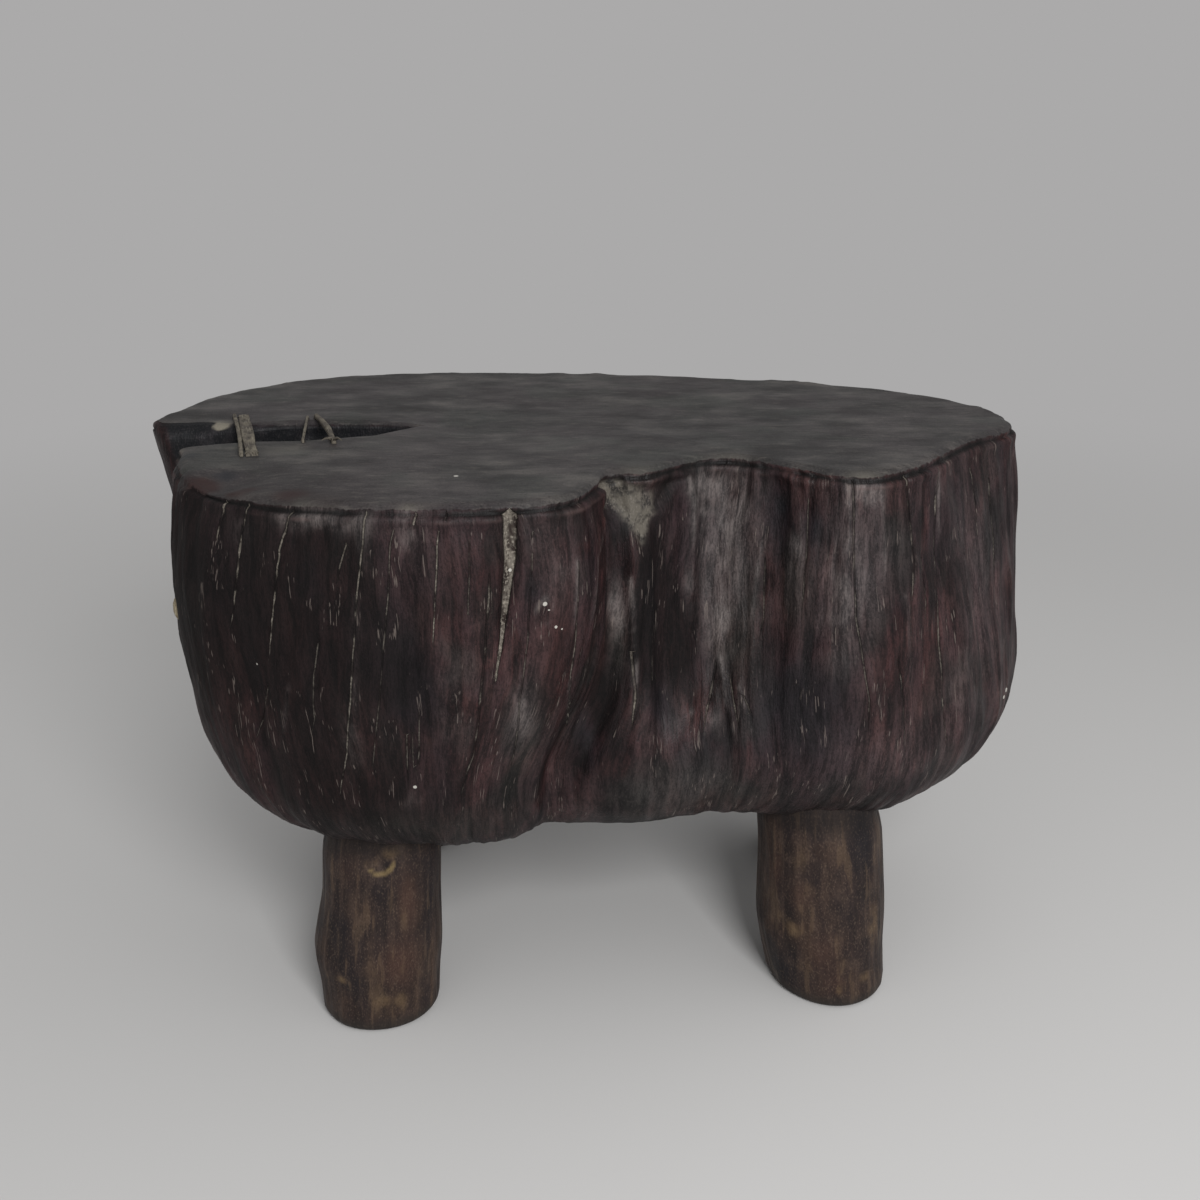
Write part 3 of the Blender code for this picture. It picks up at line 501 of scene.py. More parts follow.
# Relief: long ridges of the trunk, finer ridges between them, a groove and a lip below the rim,
# small dents. Each number of metres before lumps is a height, those in it are sizes.
GROOVE_DROP = 0.0072
LIP_DROP = 0.0108
BASE_FADE = (0.060, 0.015)          # m before the underside over which the ridges flatten
ridges = 0.0016 * lumps(grain, 0.034, 0.13, 1) - 0.0030 * np.abs(lumps(grain, 0.016, 0.085, 2))
ridges += 0.0015 * np.abs(lumps(grain, 0.008, 0.055, 3)) + 0.00030 * lumps(grain, 0.0035, 0.020, 4)
down = down_place[:, None]
ridges = ridges * (1 - 0.65 * soft_step(down, *(down_place[base_row] - np.array(BASE_FADE))))
lip = 0.0009 * bell(down - LIP_DROP, 0.0022) - 0.0019 * bell(down - GROOVE_DROP, 0.0013)
lip = lip * (0.8 + 0.8 * lumps(grain, 0.02, 0.5, 5))
wobble = 0.0010 * lumps(grain, 0.022, 0.03, 6) * bell(down - 0.004, 0.010)
dents = 0.0007 * lumps(grain, 0.022, 0.030, 7)
move = relief_share * (ridges + lip + dents - sunk) + wobble - FLAKE_DEPTH * flake_share
# Worn or broken hollows: place in the picture, radius and depth in metres
DISHES = (
    ((228, 478), 0.017, 0.0042), ((204, 488), 0.012, 0.0022), ((548, 617), 0.0028, 0.0030),
    ((556, 627), 0.0012, 0.0010), ((722, 480), 0.012, 0.0012), ((868, 490), 0.010, 0.0010),
)
for place, radius, depth in DISHES:
    centre = skin[skin_place(place)]
    move = move - depth * bell(np.linalg.norm(skin - centre, axis=2), radius)
from_peg = np.linalg.norm(skin - np.array(peg_mouth), axis=2)
move = move * (1 - np.exp(-(from_peg / PEG_BED) ** 4))
plain_skin = skin.copy()


# Tints, wear, painted shade and painted light: place in the picture, radius in millimetres,
# how much taller than wide, strength
def painted(points, tree, spots):
    """A mask made of soft spots round places of the picture, on the points given."""
    mask = np.zeros(points.shape[:-1])
    for place, radius, tall, strength in spots:
        centre = np.array(seen_at(tree, place))
        away = (points - centre) / (radius / 1000, radius / 1000, radius * tall / 1000)
        mask = mask + strength * np.exp(-(away ** 2).sum(axis=-1))
    return mask


RED_SPOTS = (
    ((225, 690), 14, 2.5, 0.6), ((560, 600), 11, 3.4, 1.0), ((556, 690), 10, 1.6, 0.8),
    ((335, 790), 22, 1.4, 0.6), ((450, 560), 24, 1.6, 0.5), ((470, 760), 14, 2.4, 0.5),
    ((850, 560), 16, 2.5, 0.4), ((800, 690), 14, 1.0, 0.3), ((960, 640), 26, 2.2, 0.35),
    ((285, 620), 18, 2.0, 0.3), ((595, 800), 14, 0.8, 0.4), ((330, 500), 14, 1.0, 0.4),
    ((900, 720), 20, 1.4, 0.4), ((198, 480), 10, 0.8, 1.3), ((240, 488), 9, 0.6, 1.0),
    ((290, 494), 10, 0.5, 0.8), ((176, 470), 5, 1.0, 0.8),
)
BLUE_SPOTS = (
    ((405, 680), 17, 1.4, 1.0), ((305, 582), 11, 1.2, 0.7), ((535, 595), 6, 1.4, 0.6),
    ((655, 600), 9, 3.2, 0.9), ((662, 700), 9, 2.2, 0.9), ((805, 705), 24, 1.2, 1.0),
    ((778, 520), 9, 2.4, 0.9), ((812, 530), 7, 2.2, 0.8), ((226, 471), 6, 0.8, 1.0),
    ((157, 433), 6, 0.8, 1.3), ((190, 456), 5, 1.0, 0.8), ((585, 740), 9, 2.2, 0.8),
    ((700, 770), 30, 0.7, 0.6), ((190, 600), 10, 3.0, 0.5),
)
GREEN_SPOTS = (
    ((195, 620), 12, 3.4, 0.8), ((620, 640), 5, 3.6, 0.9), ((525, 740), 12, 2.4, 1.0),
    ((735, 560), 15, 2.2, 0.9), ((400, 830), 50, 0.35, 0.8), ((700, 800), 60, 0.3, 0.7),
    ((730, 640), 12, 1.6, 0.8), ((900, 540), 12, 2.4, 0.5), ((680, 780), 30, 0.6, 0.6),
    ((796, 585), 8, 3.0, 1.0),
)
# Pale bare wood, with painted sheen and highlights among them: the sheen panel beside the furrow,
# the lobes' lit faces, the right end and the front lobe's corner
PALE_AND_SHEEN_SPOTS = (
    ((728, 520), 13, 2.6, 0.9), ((722, 620), 10, 2.0, 0.8), ((795, 548), 5, 2.6, 0.6),
    ((868, 492), 10, 1.0, 0.8), ((622, 620), 4, 6.0, 0.6), ((697, 500), 4, 3.0, 0.8),
    ((690, 590), 4, 3.0, 0.5), ((525, 720), 6, 3.0, 0.4), ((635, 480), 12, 0.8, 0.4),
    ((410, 524), 8, 1.6, 0.5), ((352, 740), 6, 4.0, 0.35), ((940, 490), 6, 1.8, 0.3),
    ((240, 520), 8, 2.0, 0.25), ((845, 590), 12, 3.0, 0.7), ((960, 700), 14, 3.0, 0.35),
    ((284, 450), 12, 1.0, 0.45), ((180, 456), 3, 1.6, 0.6), ((234, 448), 5, 1.0, 0.4),
    ((715, 720), 5, 2.0, 0.5), ((227, 422), 5, 1.4, 1.4), ((305, 516), 14, 0.35, 0.4),
    ((455, 700), 10, 3.0, 0.35), ((560, 560), 8, 2.4, 0.4), ((300, 521), 16, 0.35, 0.5),
    ((345, 522), 14, 0.4, 0.5), ((407, 530), 4, 2.0, 0.6), ((410, 800), 6, 1.0, 0.5),
    ((537, 611), 1.2, 2.2, 0.9), ((545, 601), 2.2, 0.5, 0.8), ((546, 620), 2.4, 0.5, 0.8),
    ((553, 611), 1.0, 2.0, 0.6), ((700, 486), 10, 0.5, 0.4), ((852, 492), 9, 0.6, 0.5),
)
# Painted shade: these darken the left lobe and its left end, the valleys of the furrow and folds,
# and the lower front, as if the light falls from the right
DARK_AND_SHADE_SPOTS = (
    ((190, 600), 22, 3.0, 1.2), ((174, 560), 9, 5.0, 1.0), ((270, 620), 38, 2.2, 1.0),
    ((345, 600), 22, 2.4, 0.7), ((405, 680), 16, 1.5, 0.7), ((657, 620), 13, 3.2, 1.2),
    ((600, 690), 6, 3.0, 1.0), ((575, 760), 8, 2.0, 0.8), ((805, 700), 22, 1.3, 0.6),
    ((360, 800), 50, 0.7, 0.7), ((681, 640), 7, 5.0, 1.0), ((652, 545), 8, 2.0, 0.7),
    ((597, 640), 5, 4.0, 0.7), ((668, 480), 7, 1.2, 0.7), ((650, 650), 9, 3.0, 0.5),
    ((545, 700), 7, 2.0, 0.5), ((605, 720), 8, 2.0, 0.6), ((770, 640), 6, 3.0, 0.5),
    ((785, 540), 12, 2.4, 0.3), ((165, 470), 22, 1.4, 0.8), ((440, 600), 14, 2.0, 0.3),
    ((672, 600), 9, 4.0, 0.6), ((184, 540), 8, 3.0, 0.6),
)
# Painted light and sheen: broad lighter patches on the sheen panel beside the furrow, the front
# faces and the right end
PAINTED_LIGHT_SPOTS = (
    ((728, 560), 16, 2.8, 0.8), ((855, 570), 17, 2.8, 0.8), ((980, 590), 30, 2.4, 0.6),
    ((525, 720), 12, 2.2, 0.5), ((560, 580), 12, 2.0, 0.4), ((900, 760), 45, 0.6, 0.5),
    ((430, 560), 18, 2.0, 0.3), ((690, 790), 36, 0.5, 0.4), ((796, 585), 8, 3.0, 0.3),
)
# Painted shade in the flake's hollow: here the flake's pale colour is held back
FLAKE_SHADE = (
    ((682, 492), 11, 1.6, 1.4), ((648, 480), 9, 0.7, 1.2), ((664, 505), 5, 1.6, 1.0),
    ((606, 512), 4, 1.6, 0.8),
)
CORNER_SPOTS = (((189, 478), 9, 1.0, 1.2), ((201, 486), 6, 1.0, 0.9), ((178, 462), 6, 1.0, 0.8))
CORNER_RELIEF = 0.0013
TOP_EDGE = (0.0030, 0.0070)         # m below the rim between which the top's wear ends
red, blue, green, dark, light = (
    painted(plain_skin, seat_tree, spots)
    for spots in (RED_SPOTS, BLUE_SPOTS, GREEN_SPOTS, DARK_AND_SHADE_SPOTS, PAINTED_LIGHT_SPOTS)
)
corner = np.clip(painted(plain_skin, seat_tree, CORNER_SPOTS), 0, 1)
corner_lumps = lumps(grain, 0.010, 0.010, 12) + 0.6 * lumps(grain, 0.0045, 0.005, 13)
skin = skin + skin_normals(plain_skin) * (move + CORNER_RELIEF * corner * corner_lumps)[..., None]
on_top = 1 - soft_step(down, *TOP_EDGE) * np.ones((1, columns))
on_top = np.maximum(on_top, 0.62 * soft_step(corner + 0.3 * corner_lumps, 0.35, 0.75))
# Pale bare wood with painted sheen, and the ridges' rubbed paleness with painted highlights
bare = np.clip(painted(plain_skin, seat_tree, PALE_AND_SHEEN_SPOTS) + rubbed_ridge_and_highlight, 0, 1)
# The flake's pale wood, left out where its hollow has painted shade
flake_pale = flake_share * (1 - 0.9 * np.clip(painted(plain_skin, seat_tree, FLAKE_SHADE), 0, 1))
# Painted shade: a dark band along the groove just below the rim, broken up by noise
rim_band = bell(down - GROOVE_DROP, 0.0016) * (1.0 + 1.1 * lumps(grain, 0.02, 0.5, 8))
# Painted highlight: a pale line along the lip below the groove
lip_highlight = bell(down - LIP_DROP, 0.0014) * (0.4 + 1.1 * lumps(grain, 0.014, 0.5, 9))
rim_band, lip_highlight = (np.clip(line * (1 - corner), 0, 1) for line in (rim_band, lip_highlight))
none = np.zeros_like(on_top)
attributes = {
    "grain": grain,
    "crack": np.stack((crack_place * 1000, crack_width * 1000, crack_pale), axis=2),
    "tint": np.stack((red, blue, green), axis=2),
    "wear_and_sheen": np.stack((on_top, bare, flake_pale), axis=2),
    "edge": np.stack((rim_band, lip_highlight, none), axis=2),
    "shade": np.stack((dark, light, none), axis=2),
}


def places_and_corners(mesh):
    """The place of every vertex of a mesh, and the vertex at every corner of its faces."""
    place = np.empty(len(mesh.vertices) * 3, np.float32)
    mesh.vertices.foreach_get("co", place)
    corner = np.empty(len(mesh.loops), np.int32)
    mesh.loops.foreach_get("vertex_index", corner)
    return place.reshape(-1, 3), corner


def add_layers(mesh, layers):
    """Stores vectors at the corners of a mesh's faces, where its material reads them by name."""
    for name, values in layers.items():
        layer = mesh.attributes.new(name, "FLOAT_VECTOR", "CORNER")
        layer.data.foreach_set("vector", values.astype(np.float32).ravel())


def closed_skin(name, points, attributes):
    """A closed mesh from a grid of points whose columns go round and whose end rows are poles."""
    count_down, count_round = points.shape[:2]
    sheet = bmesh.new()
    bmesh.ops.create_grid(sheet, x_segments=count_round, y_segments=count_down - 1, size=0.5)
    mesh = bpy.data.meshes.new(name)
    sheet.to_mesh(mesh)
    sheet.free()
    place, corner = places_and_corners(mesh)
    column = np.rint((place[:, 0] + 0.5) * count_round).astype(int)
    row = np.rint((0.5 - place[:, 1]) * (count_down - 1)).astype(int)
    around = column % count_round
    mesh.vertices.foreach_set("co", points[row, around].astype(np.float32).ravel())
    add_layers(mesh, {name: values[row, around][corner] for name, values in attributes.items()})
    shape = bmesh.new()
    shape.from_mesh(mesh)
    bmesh.ops.remove_doubles(shape, verts=shape.verts, dist=MERGE_REACH)
    shape.to_mesh(mesh)
    shape.free()
    mesh.shade_smooth()
    return mesh


def add_piece(name, mesh):
    """A new object of the scene."""
    piece = bpy.data.objects.new(name, mesh)
    bpy.context.scene.collection.objects.link(piece)
    return piece


# The split: a slot that narrows downward and closes towards the middle, with rough torn walls
SPLIT_WIDTH = 0.038
SPLIT_DEPTH = 0.120
# From its mouth inward: place in shares of half the seat's width and depth, share of the width
SPLIT_STATIONS = np.array((
    (-1.107, -0.182, 1.05), (-1.030, -0.167, 1.043), (-0.953, -0.151, 1.037),
    (-0.876, -0.136, 1.03), (-0.791, -0.098, 0.87),
    (-0.685, -0.063, 1.04), (-0.600, -0.055, 1.00), (-0.533, -0.036, 0.86),
    (-0.477, -0.021, 0.70), (-0.431, 0.011, 0.36), (-0.380, 0.036, 0.0),
))
# From the top down: share of the depth, and shares of the reach and of the width there
SPLIT_LEVELS = np.array((
    (0.0, 1.0, 1.0), (0.20, 0.93, 0.95), (0.55, 0.75, 0.72), (0.85, 0.55, 0.42), (1.0, 0.42, 0.22),
))
SPLIT_CUTS = (90, 6, 46)
SPLIT_OVERRUN = 0.002
SPLIT_LIP = 0.0032
SPLIT_END_HALF = 0.004      # below this half width the walls turn smooth, so that they don't cross
ROW_CROWDING = 1.7
MOUTH_LIP = 0.0050
MOUTH_START = -0.165
MOUTH_LENGTH = 0.045
# Corners where the split leaves the trunk's side: place, lean and radius
BACK_CORNER = (-0.2365, 0.19, 0.011)
FRONT_CORNER = (-0.2070, 0.0, 0.006)
CORNER_REACH = 1.8
WORN_DEPTH = (0.0003, 0.0045)       # m down the walls over which the top's wear ends
WORN_EXTRA = 0.0035                 # m less of it at the mouth
WORN_MOUTH = (0.160, 0.205)
SKIN_BLEND = 0.006
# Roughness of the torn walls: height, size along, stretch from wall to wall and size down
SPLIT_ROUGHNESS = (
    (0.0008, 0.022, 3.0, 0.012), (0.0003, 0.007, 5.0, 0.005), (0.0012, 0.05, 2.0, 0.05),
)


def subdivided_block(cuts):
    """A unit cube cut into a fine grid on every side."""
    block = bmesh.new()
    bmesh.ops.create_cube(block, size=1.0)
    for axis, count in enumerate(cuts):
        lengthwise = [e for e in block.edges if abs((e.verts[0].co - e.verts[1].co)[axis]) > 0.5]
        bmesh.ops.subdivide_edges(block, edges=lengthwise, cuts=count, use_grid_fill=True)
    return block


split = subdivided_block(SPLIT_CUTS)
station_place = np.linspace(0.0, 1.0, len(SPLIT_STATIONS))
for vert in split.verts:
    along_share, side = vert.co.x + 0.5, vert.co.y * 2
    depth_share = (0.5 - vert.co.z) ** ROW_CROWDING
    height = STOOL_HEIGHT + SPLIT_OVERRUN - (SPLIT_DEPTH + SPLIT_OVERRUN) * depth_share
    level = max(0.0, (STOOL_HEIGHT - height) / SPLIT_DEPTH)
    reach, narrowing = (np.interp(level, SPLIT_LEVELS[:, 0], SPLIT_LEVELS[:, k]) for k in (1, 2))
    stations = [np.interp(along_share, station_place, SPLIT_STATIONS[:, k]) for k in range(3)]
    mouth = SPLIT_STATIONS[0, 0]
    x = (mouth + (stations[0] - mouth) * reach) * HALF_PLAN[0]
    y = stations[1] * HALF_PLAN[1]
    half = SPLIT_WIDTH / 2 * stations[2] * narrowing
    closing = min(1.0, half / SPLIT_END_HALF)
    rough = sum(
        noise.noise(Vector((x / along, side * stretch, height / down))) * high
        for high, along, stretch, down in SPLIT_ROUGHNESS
    )
    lip_radius = SPLIT_LIP + MOUTH_LIP * min(max((MOUTH_START - x) / MOUTH_LENGTH, 0.0), 1.0)
    lip_radius *= 1 + 0.5 * noise.noise(Vector((x / 0.02, side, 3.0)))
    rise = min(max(height - STOOL_HEIGHT + lip_radius, 0.0), lip_radius)
    flare = lip_radius - math.sqrt(lip_radius ** 2 - rise ** 2)
    corner_x, lean, corner_round = BACK_CORNER if side > 0 else FRONT_CORNER
    past = (corner_x + lean * (STOOL_HEIGHT - height) + corner_round - x) / corner_round
    flare += corner_round * min(max(past, 0.0), CORNER_REACH) ** 2
    vert.co = (x, y + side * (half + (rough + flare) * closing), height)
bmesh.ops.remove_doubles(split, verts=split.verts, dist=CUTTER_MERGE_REACH)
bmesh.ops.recalc_face_normals(split, faces=split.faces)
split_mesh = bpy.data.meshes.new("split_cutter")
split.to_mesh(split_mesh)
split.free()
place, corner = places_and_corners(split_mesh)
place = place[corner]
# Pale crumbs on the walls: place in the picture, radius in millimetres, how tall, strength
SPLIT_PALE_SPOTS = (((224, 423), 5, 0.8, 1.3), ((232, 419), 4, 0.8, 0.8), ((216, 429), 3, 0.6, 0.6))
deep = STOOL_HEIGHT - place[:, 2] + WORN_EXTRA * soft_step(-place[:, 0], *WORN_MOUTH)
deep = soft_step(deep, *WORN_DEPTH)
blotch = np.clip(painted(place, seat_tree, SPLIT_PALE_SPOTS), 0, 1)
none = np.zeros_like(deep)
to_skin = [
    corner_x + lean * (STOOL_HEIGHT - place[:, 2]) + 1.2 * corner_round - place[:, 0]
    for corner_x, lean, corner_round in (BACK_CORNER, FRONT_CORNER)
]
to_skin = np.where(place[:, 1] > SPLIT_STATIONS[0, 1] * HALF_PLAN[1], *to_skin)
# Painted shade: the split's walls darken from just below the top downward, fading out where they
# meet the trunk's side
split_shade = deep * (1 - soft_step(to_skin, 0.0, SKIN_BLEND))
add_layers(split_mesh, {
    "grain": place, "edge": np.stack((none, none, split_shade), axis=1),
    "wear_and_sheen": np.stack((1 - deep, blotch, none), axis=1),
})

# Holes: blind sockets for the four driven legs, and for the stitches' ends and the side peg
LEGS = ("leg_front_left", "leg_front_right", "leg_back_left", "leg_back_right")
HOLE_DEPTH = 0.009
HOLE_OVERRUN = 0.006
HOLE_SIDES = 24
STITCH_ENDS = {
    "strap": ((-0.804, 0.139), (-0.702, -0.411)),
    "strand_beside": ((-0.8245, 0.139), (-0.7225, -0.416)),
    "strand_straight": ((-0.655, 0.118), (-0.620, -0.237)),
    "strand_diagonal": ((-0.637, 0.125), (-0.554, -0.244)),
}
STRAP_THICKNESS = 0.0014
STRAP_WIDTH = 0.0055
STRAND_RADII = {"strand_beside": 0.0010, "strand_straight": 0.0007, "strand_diagonal": 0.00125}


def on_seat(shares):
    """A place of the seat's top, given in shares of half its width and depth."""
    return Vector((shares[0] * HALF_PLAN[0], shares[1] * HALF_PLAN[1], STOOL_HEIGHT))


holes = bmesh.new()
for leg in LEGS:
    holes.from_mesh(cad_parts[leg].data)
bmesh.ops.remove_doubles(holes, verts=holes.verts, dist=CUTTER_MERGE_REACH)
holes.normal_update()
grown = [vert.co + vert.normal * CLEARANCE for vert in holes.verts]
for vert, place in zip(holes.verts, grown):
    vert.co = place
hole_depth = HOLE_DEPTH + CLEARANCE + HOLE_OVERRUN
for stitch, ends in STITCH_ENDS.items():
    start, end = map(on_seat, ends)
    bearing = Matrix.Rotation(math.atan2(end.y - start.y, end.x - start.x), 4, "Z")
    for place in (start, end):
        middle = place + Vector((0.0, 0.0, HOLE_OVERRUN - hole_depth / 2))
        if stitch == "strap":
            slot = (STRAP_THICKNESS + 2 * CLEARANCE, STRAP_WIDTH + 2 * CLEARANCE, hole_depth)
            matrix = Matrix.Translation(middle) @ bearing @ Matrix.Diagonal((*slot, 1.0))
            bmesh.ops.create_cube(holes, size=1.0, matrix=matrix)
        else:
            radius = STRAND_RADII[stitch] + CLEARANCE
            bmesh.ops.create_cone(
                holes, cap_ends=True, segments=HOLE_SIDES, radius1=radius, radius2=radius,
                depth=hole_depth, matrix=Matrix.Translation(middle),
            )
peg_hole_depth = PEG_LENGTH - PEG_PROUD + CLEARANCE + HOLE_OVERRUN
bmesh.ops.create_cone(
    holes, cap_ends=True, segments=HOLE_SIDES, radius1=PEG_RADIUS + CLEARANCE,
    radius2=PEG_RADIUS + CLEARANCE, depth=peg_hole_depth,
    matrix=Matrix.Translation(peg_mouth + peg_way * (HOLE_OVERRUN - peg_hole_depth / 2)) @ peg_turn,
)
holes_mesh = bpy.data.meshes.new("holes_cutter")
holes.to_mesh(holes_mesh)
holes.free()


def combined(piece, others, operation):
    """The mesh of a piece with others cut out of it or joined to it, which are then taken away."""
    for other in others:
        change = piece.modifiers.new("combined", "BOOLEAN")
        change.operation = operation
        change.solver = "EXACT"
        change.object = other
    whole = piece.evaluated_get(bpy.context.evaluated_depsgraph_get())
    mesh = bpy.data.meshes.new_from_object(whole)
    piece.modifiers.clear()
    piece.data = mesh
    for other in others:
        bpy.data.meshes.remove(other.data)
    mesh.materials.clear()
    return mesh


seat = add_piece("trunk_seat", closed_skin("trunk_seat", skin, attributes))
cutters = [add_piece(mesh.name, mesh) for mesh in (split_mesh, holes_mesh)]
cut_mesh = combined(seat, cutters, "DIFFERENCE")
# The cuts leave points with only two edges between flat faces, which are taken out
cleaned = bmesh.new()
cleaned.from_mesh(cut_mesh)
idle = [vert for vert in cleaned.verts if len(vert.link_edges) == 2]
bmesh.ops.dissolve_verts(cleaned, verts=idle)
cleaned.to_mesh(cut_mesh)
cleaned.free()


MIXED_COLOUR = "Result_Color"       # a Mix node has one result for each kind of data


def linear(hex_text, alpha=1.0):
    """A colour as it looks, in six hex digits, turned into linear light."""
    levels = [int(hex_text[i:i + 2], 16) / 255 for i in (0, 2, 4)]
    return (*(v / 12.92 if v <= 0.04045 else ((v + 0.055) / 1.055) ** 2.4 for v in levels), alpha)


def add_node(tree, kind, sockets=(), output=0, stops=(), **settings):
    """Adds a node with its settings, fills or links its sockets, and gives one of its outputs."""
    made = tree.nodes.new("ShaderNode" + kind)
    for name, value in settings.items():
        setattr(made, name, value)
    for key, value in dict(sockets).items():
        if isinstance(value, bpy.types.NodeSocket):
            tree.links.new(value, made.inputs[key])
        else:
            made.inputs[key].default_value = value
    for index, (place, shade) in enumerate(stops):
        ramp = made.color_ramp.elements
        stop = ramp[index] if index < 2 else ramp.new(place)
        stop.position = place
        stop.color = linear(shade)
    if output == MIXED_COLOUR:
        return next(socket for socket in made.outputs if socket.identifier == output)
    return made.outputs[output]


def laid_over(tree, colour, layers):
    """Lays colours over a first one, each as its mask goes from one value to another."""
    for mask, low, high, strength, over in layers:
        share = add_node(
            tree, "MapRange", {0: mask, 1: low, 2: high, 3: 0.0, 4: strength},
            interpolation_type="SMOOTHSTEP",
        )
        over = linear(over) if isinstance(over, str) else over
        sockets = {0: share, 6: colour, 7: over}
        colour = add_node(tree, "Mix", sockets, MIXED_COLOUR, data_type="RGBA")
    return colour


def summed(tree, parts):
    """The sum of patterns, each with its own height or share."""
    total = 0.0
    for pattern, height in parts:
        total = add_node(tree, "Math", {0: pattern, 1: height, 2: total}, operation="MULTIPLY_ADD")
    return total


def begin_material(name, layers, kinds):
    """A new material with its masks and noise patterns by name: a mask is one channel of a layer of
    the mesh, and a pattern lies along the grain or in space, with its size in millimetres."""
    material = bpy.data.materials.new(name)
    material.use_nodes = True
    tree = material.node_tree
    source = {"grain": add_node(tree, "Attribute", output="Vector", attribute_name="grain")}
    if any(place == "space" for place, _, _ in kinds.values()):
        source["space"] = add_node(tree, "TexCoord", output="Object")
    mask, pattern = {}, {}
    for layer, names in layers.items():
        vector = add_node(tree, "Attribute", output="Vector", attribute_name=layer)
        mask.update(zip(names, add_node(tree, "SeparateXYZ", {0: vector}).node.outputs))
    for kind, (place, size, detail) in kinds.items():
        scale = [1000 / length for length in size]
        scaled = add_node(tree, "Mapping", {"Vector": source[place], "Scale": scale})
        sockets = {"Vector": scaled, "Scale": 1.0, "Detail": detail}
        pattern[kind] = add_node(tree, "TexNoise", sockets)
    return material, tree, source, mask, pattern


# Hand-hewn hardwood, darkened by smoke and waxed: aubergine-brown streaks that run with the
# flutes, blue-black and reddish patches, thin pale torn fibres, and a soft sheen on the ridges.
# Painted light is laid into the colour too: broad painted shade and painted light, painted
# highlights on the ridges, fibres and lip, and painted shade in the groove, by the cracks and
# in the split
wood, tree, source, mask, pattern = begin_material("smoked_waxed_trunk_wood", {
    "crack": ("crack_place", "crack_half", "crack_pale"), "tint": ("red", "blue", "green"),
    "wear_and_sheen": ("top", "bare", "flake"), "edge": ("rim_band", "lip", "split"),
    "shade": ("dark", "light"),
}, {
    "wide": ("grain", (14, 14, 46), 4), "strip": ("grain", (5.0, 5.0, 44), 3),
    "streak": ("grain", (2.2, 2.2, 17), 4), "fibre": ("grain", (0.8, 0.8, 5), 3),
    "grit": ("space", (0.8, 0.8, 1.4), 2), "chip": ("space", (5, 5, 6), 4),
    "band": ("grain", (10, 10, 85), 2), "cloud": ("grain", (9, 9, 15), 4),
    "broken": ("grain", (7, 7, 20), 3), "dash": ("grain", (4, 4, 11), 2),
    "waver": ("grain", (3, 3, 14), 3), "patch": ("space", (60, 60, 80), 3),
    "mottle": ("space", (15, 15, 26), 5), "spot": ("space", (35, 35, 45), 2),
    "smear": ("space", (30, 17, 17), 4), "scratch": ("space", (9, 2.6, 2.6), 3),
    "pore": ("space", (1.4, 1.4, 1.4), 2), "tear": ("grain", (0.7, 0.7, 14), 1),
})
side = add_node(tree, "ValToRGB", {0: pattern["mottle"]}, stops=(
    (0.30, "130C0C"), (0.45, "1E1112"), (0.56, "2B1919"), (0.72, "3A2827"),
))
# Pale torn fibres, partly painted glints of light along them
torn_fibres_and_glints = add_node(tree, "MapRange", {0: pattern["broken"], 1: 0.42, 2: 0.60, 3: 0.0, 4: 1.0})
torn_fibres_and_glints = add_node(tree, "Math", {0: pattern["tear"], 1: torn_fibres_and_glints}, operation="MULTIPLY")
side = laid_over(tree, side, (
    (pattern["wide"], 0.50, 0.64, 0.45, "352625"), (pattern["wide"], 0.48, 0.36, 0.50, "0F0B0C"),
    (pattern["band"], 0.505, 0.525, 0.30, "34282A"), (pattern["band"], 0.45, 0.43, 0.40, "0E0A0B"),
    (pattern["patch"], 0.50, 0.60, 0.45, "211A1D"), (pattern["spot"], 0.52, 0.62, 0.35, "1C1D1B"),
    (mask["red"], 0.0, 1.0, 0.50, "321D1C"), (mask["blue"], 0.0, 1.0, 0.70, "12151A"),
    # the near-black layer over the dark spots is painted shade
    (mask["green"], 0.0, 1.0, 0.55, "262724"), (mask["dark"], 0.0, 1.0, 0.82, "0B0606"),
    # the pale grey layer over the light spots is painted light and sheen
    (mask["light"], 0.0, 1.0, 0.34, "564F50"),
))
# Pale bare wood, partly painted sheen and highlights, clouded
pale = add_node(tree, "MapRange", {0: pattern["cloud"], 1: 0.36, 2: 0.60, 3: 0.30, 4: 1.0})
pale = add_node(tree, "Math", {0: mask["bare"], 1: pale}, operation="MULTIPLY")
side = laid_over(tree, side, ((pale, 0.0, 1.0, 0.50, "625D5B"),))
# The finer patterns lighten or darken what lies under them, so that every patch keeps its colour
lighter, darker = (
    add_node(
        tree, "Mix", {0: 1.0, 6: side, 7: times}, MIXED_COLOUR,
        data_type="RGBA", blend_type="MULTIPLY",
    )
    for times in ((2.05, 2.0, 1.98, 1.0), (0.30, 0.30, 0.32, 1.0))
)
side = laid_over(tree, side, (
    (pattern["cloud"], 0.52, 0.60, 0.32, lighter), (pattern["cloud"], 0.46, 0.38, 0.45, darker),
    (pattern["strip"], 0.515, 0.54, 0.34, lighter), (pattern["strip"], 0.475, 0.45, 0.42, darker),
    (pattern["streak"], 0.53, 0.57, 0.30, lighter), (pattern["streak"], 0.46, 0.42, 0.38, darker),
    (pattern["fibre"], 0.55, 0.62, 0.34, lighter), (pattern["fibre"], 0.45, 0.38, 0.40, darker),
    (pattern["grit"], 0.55, 0.70, 0.40, lighter), (pattern["grit"], 0.46, 0.32, 0.45, darker),
    (torn_fibres_and_glints, 0.60, 0.70, 0.55, "6E645E"),
))

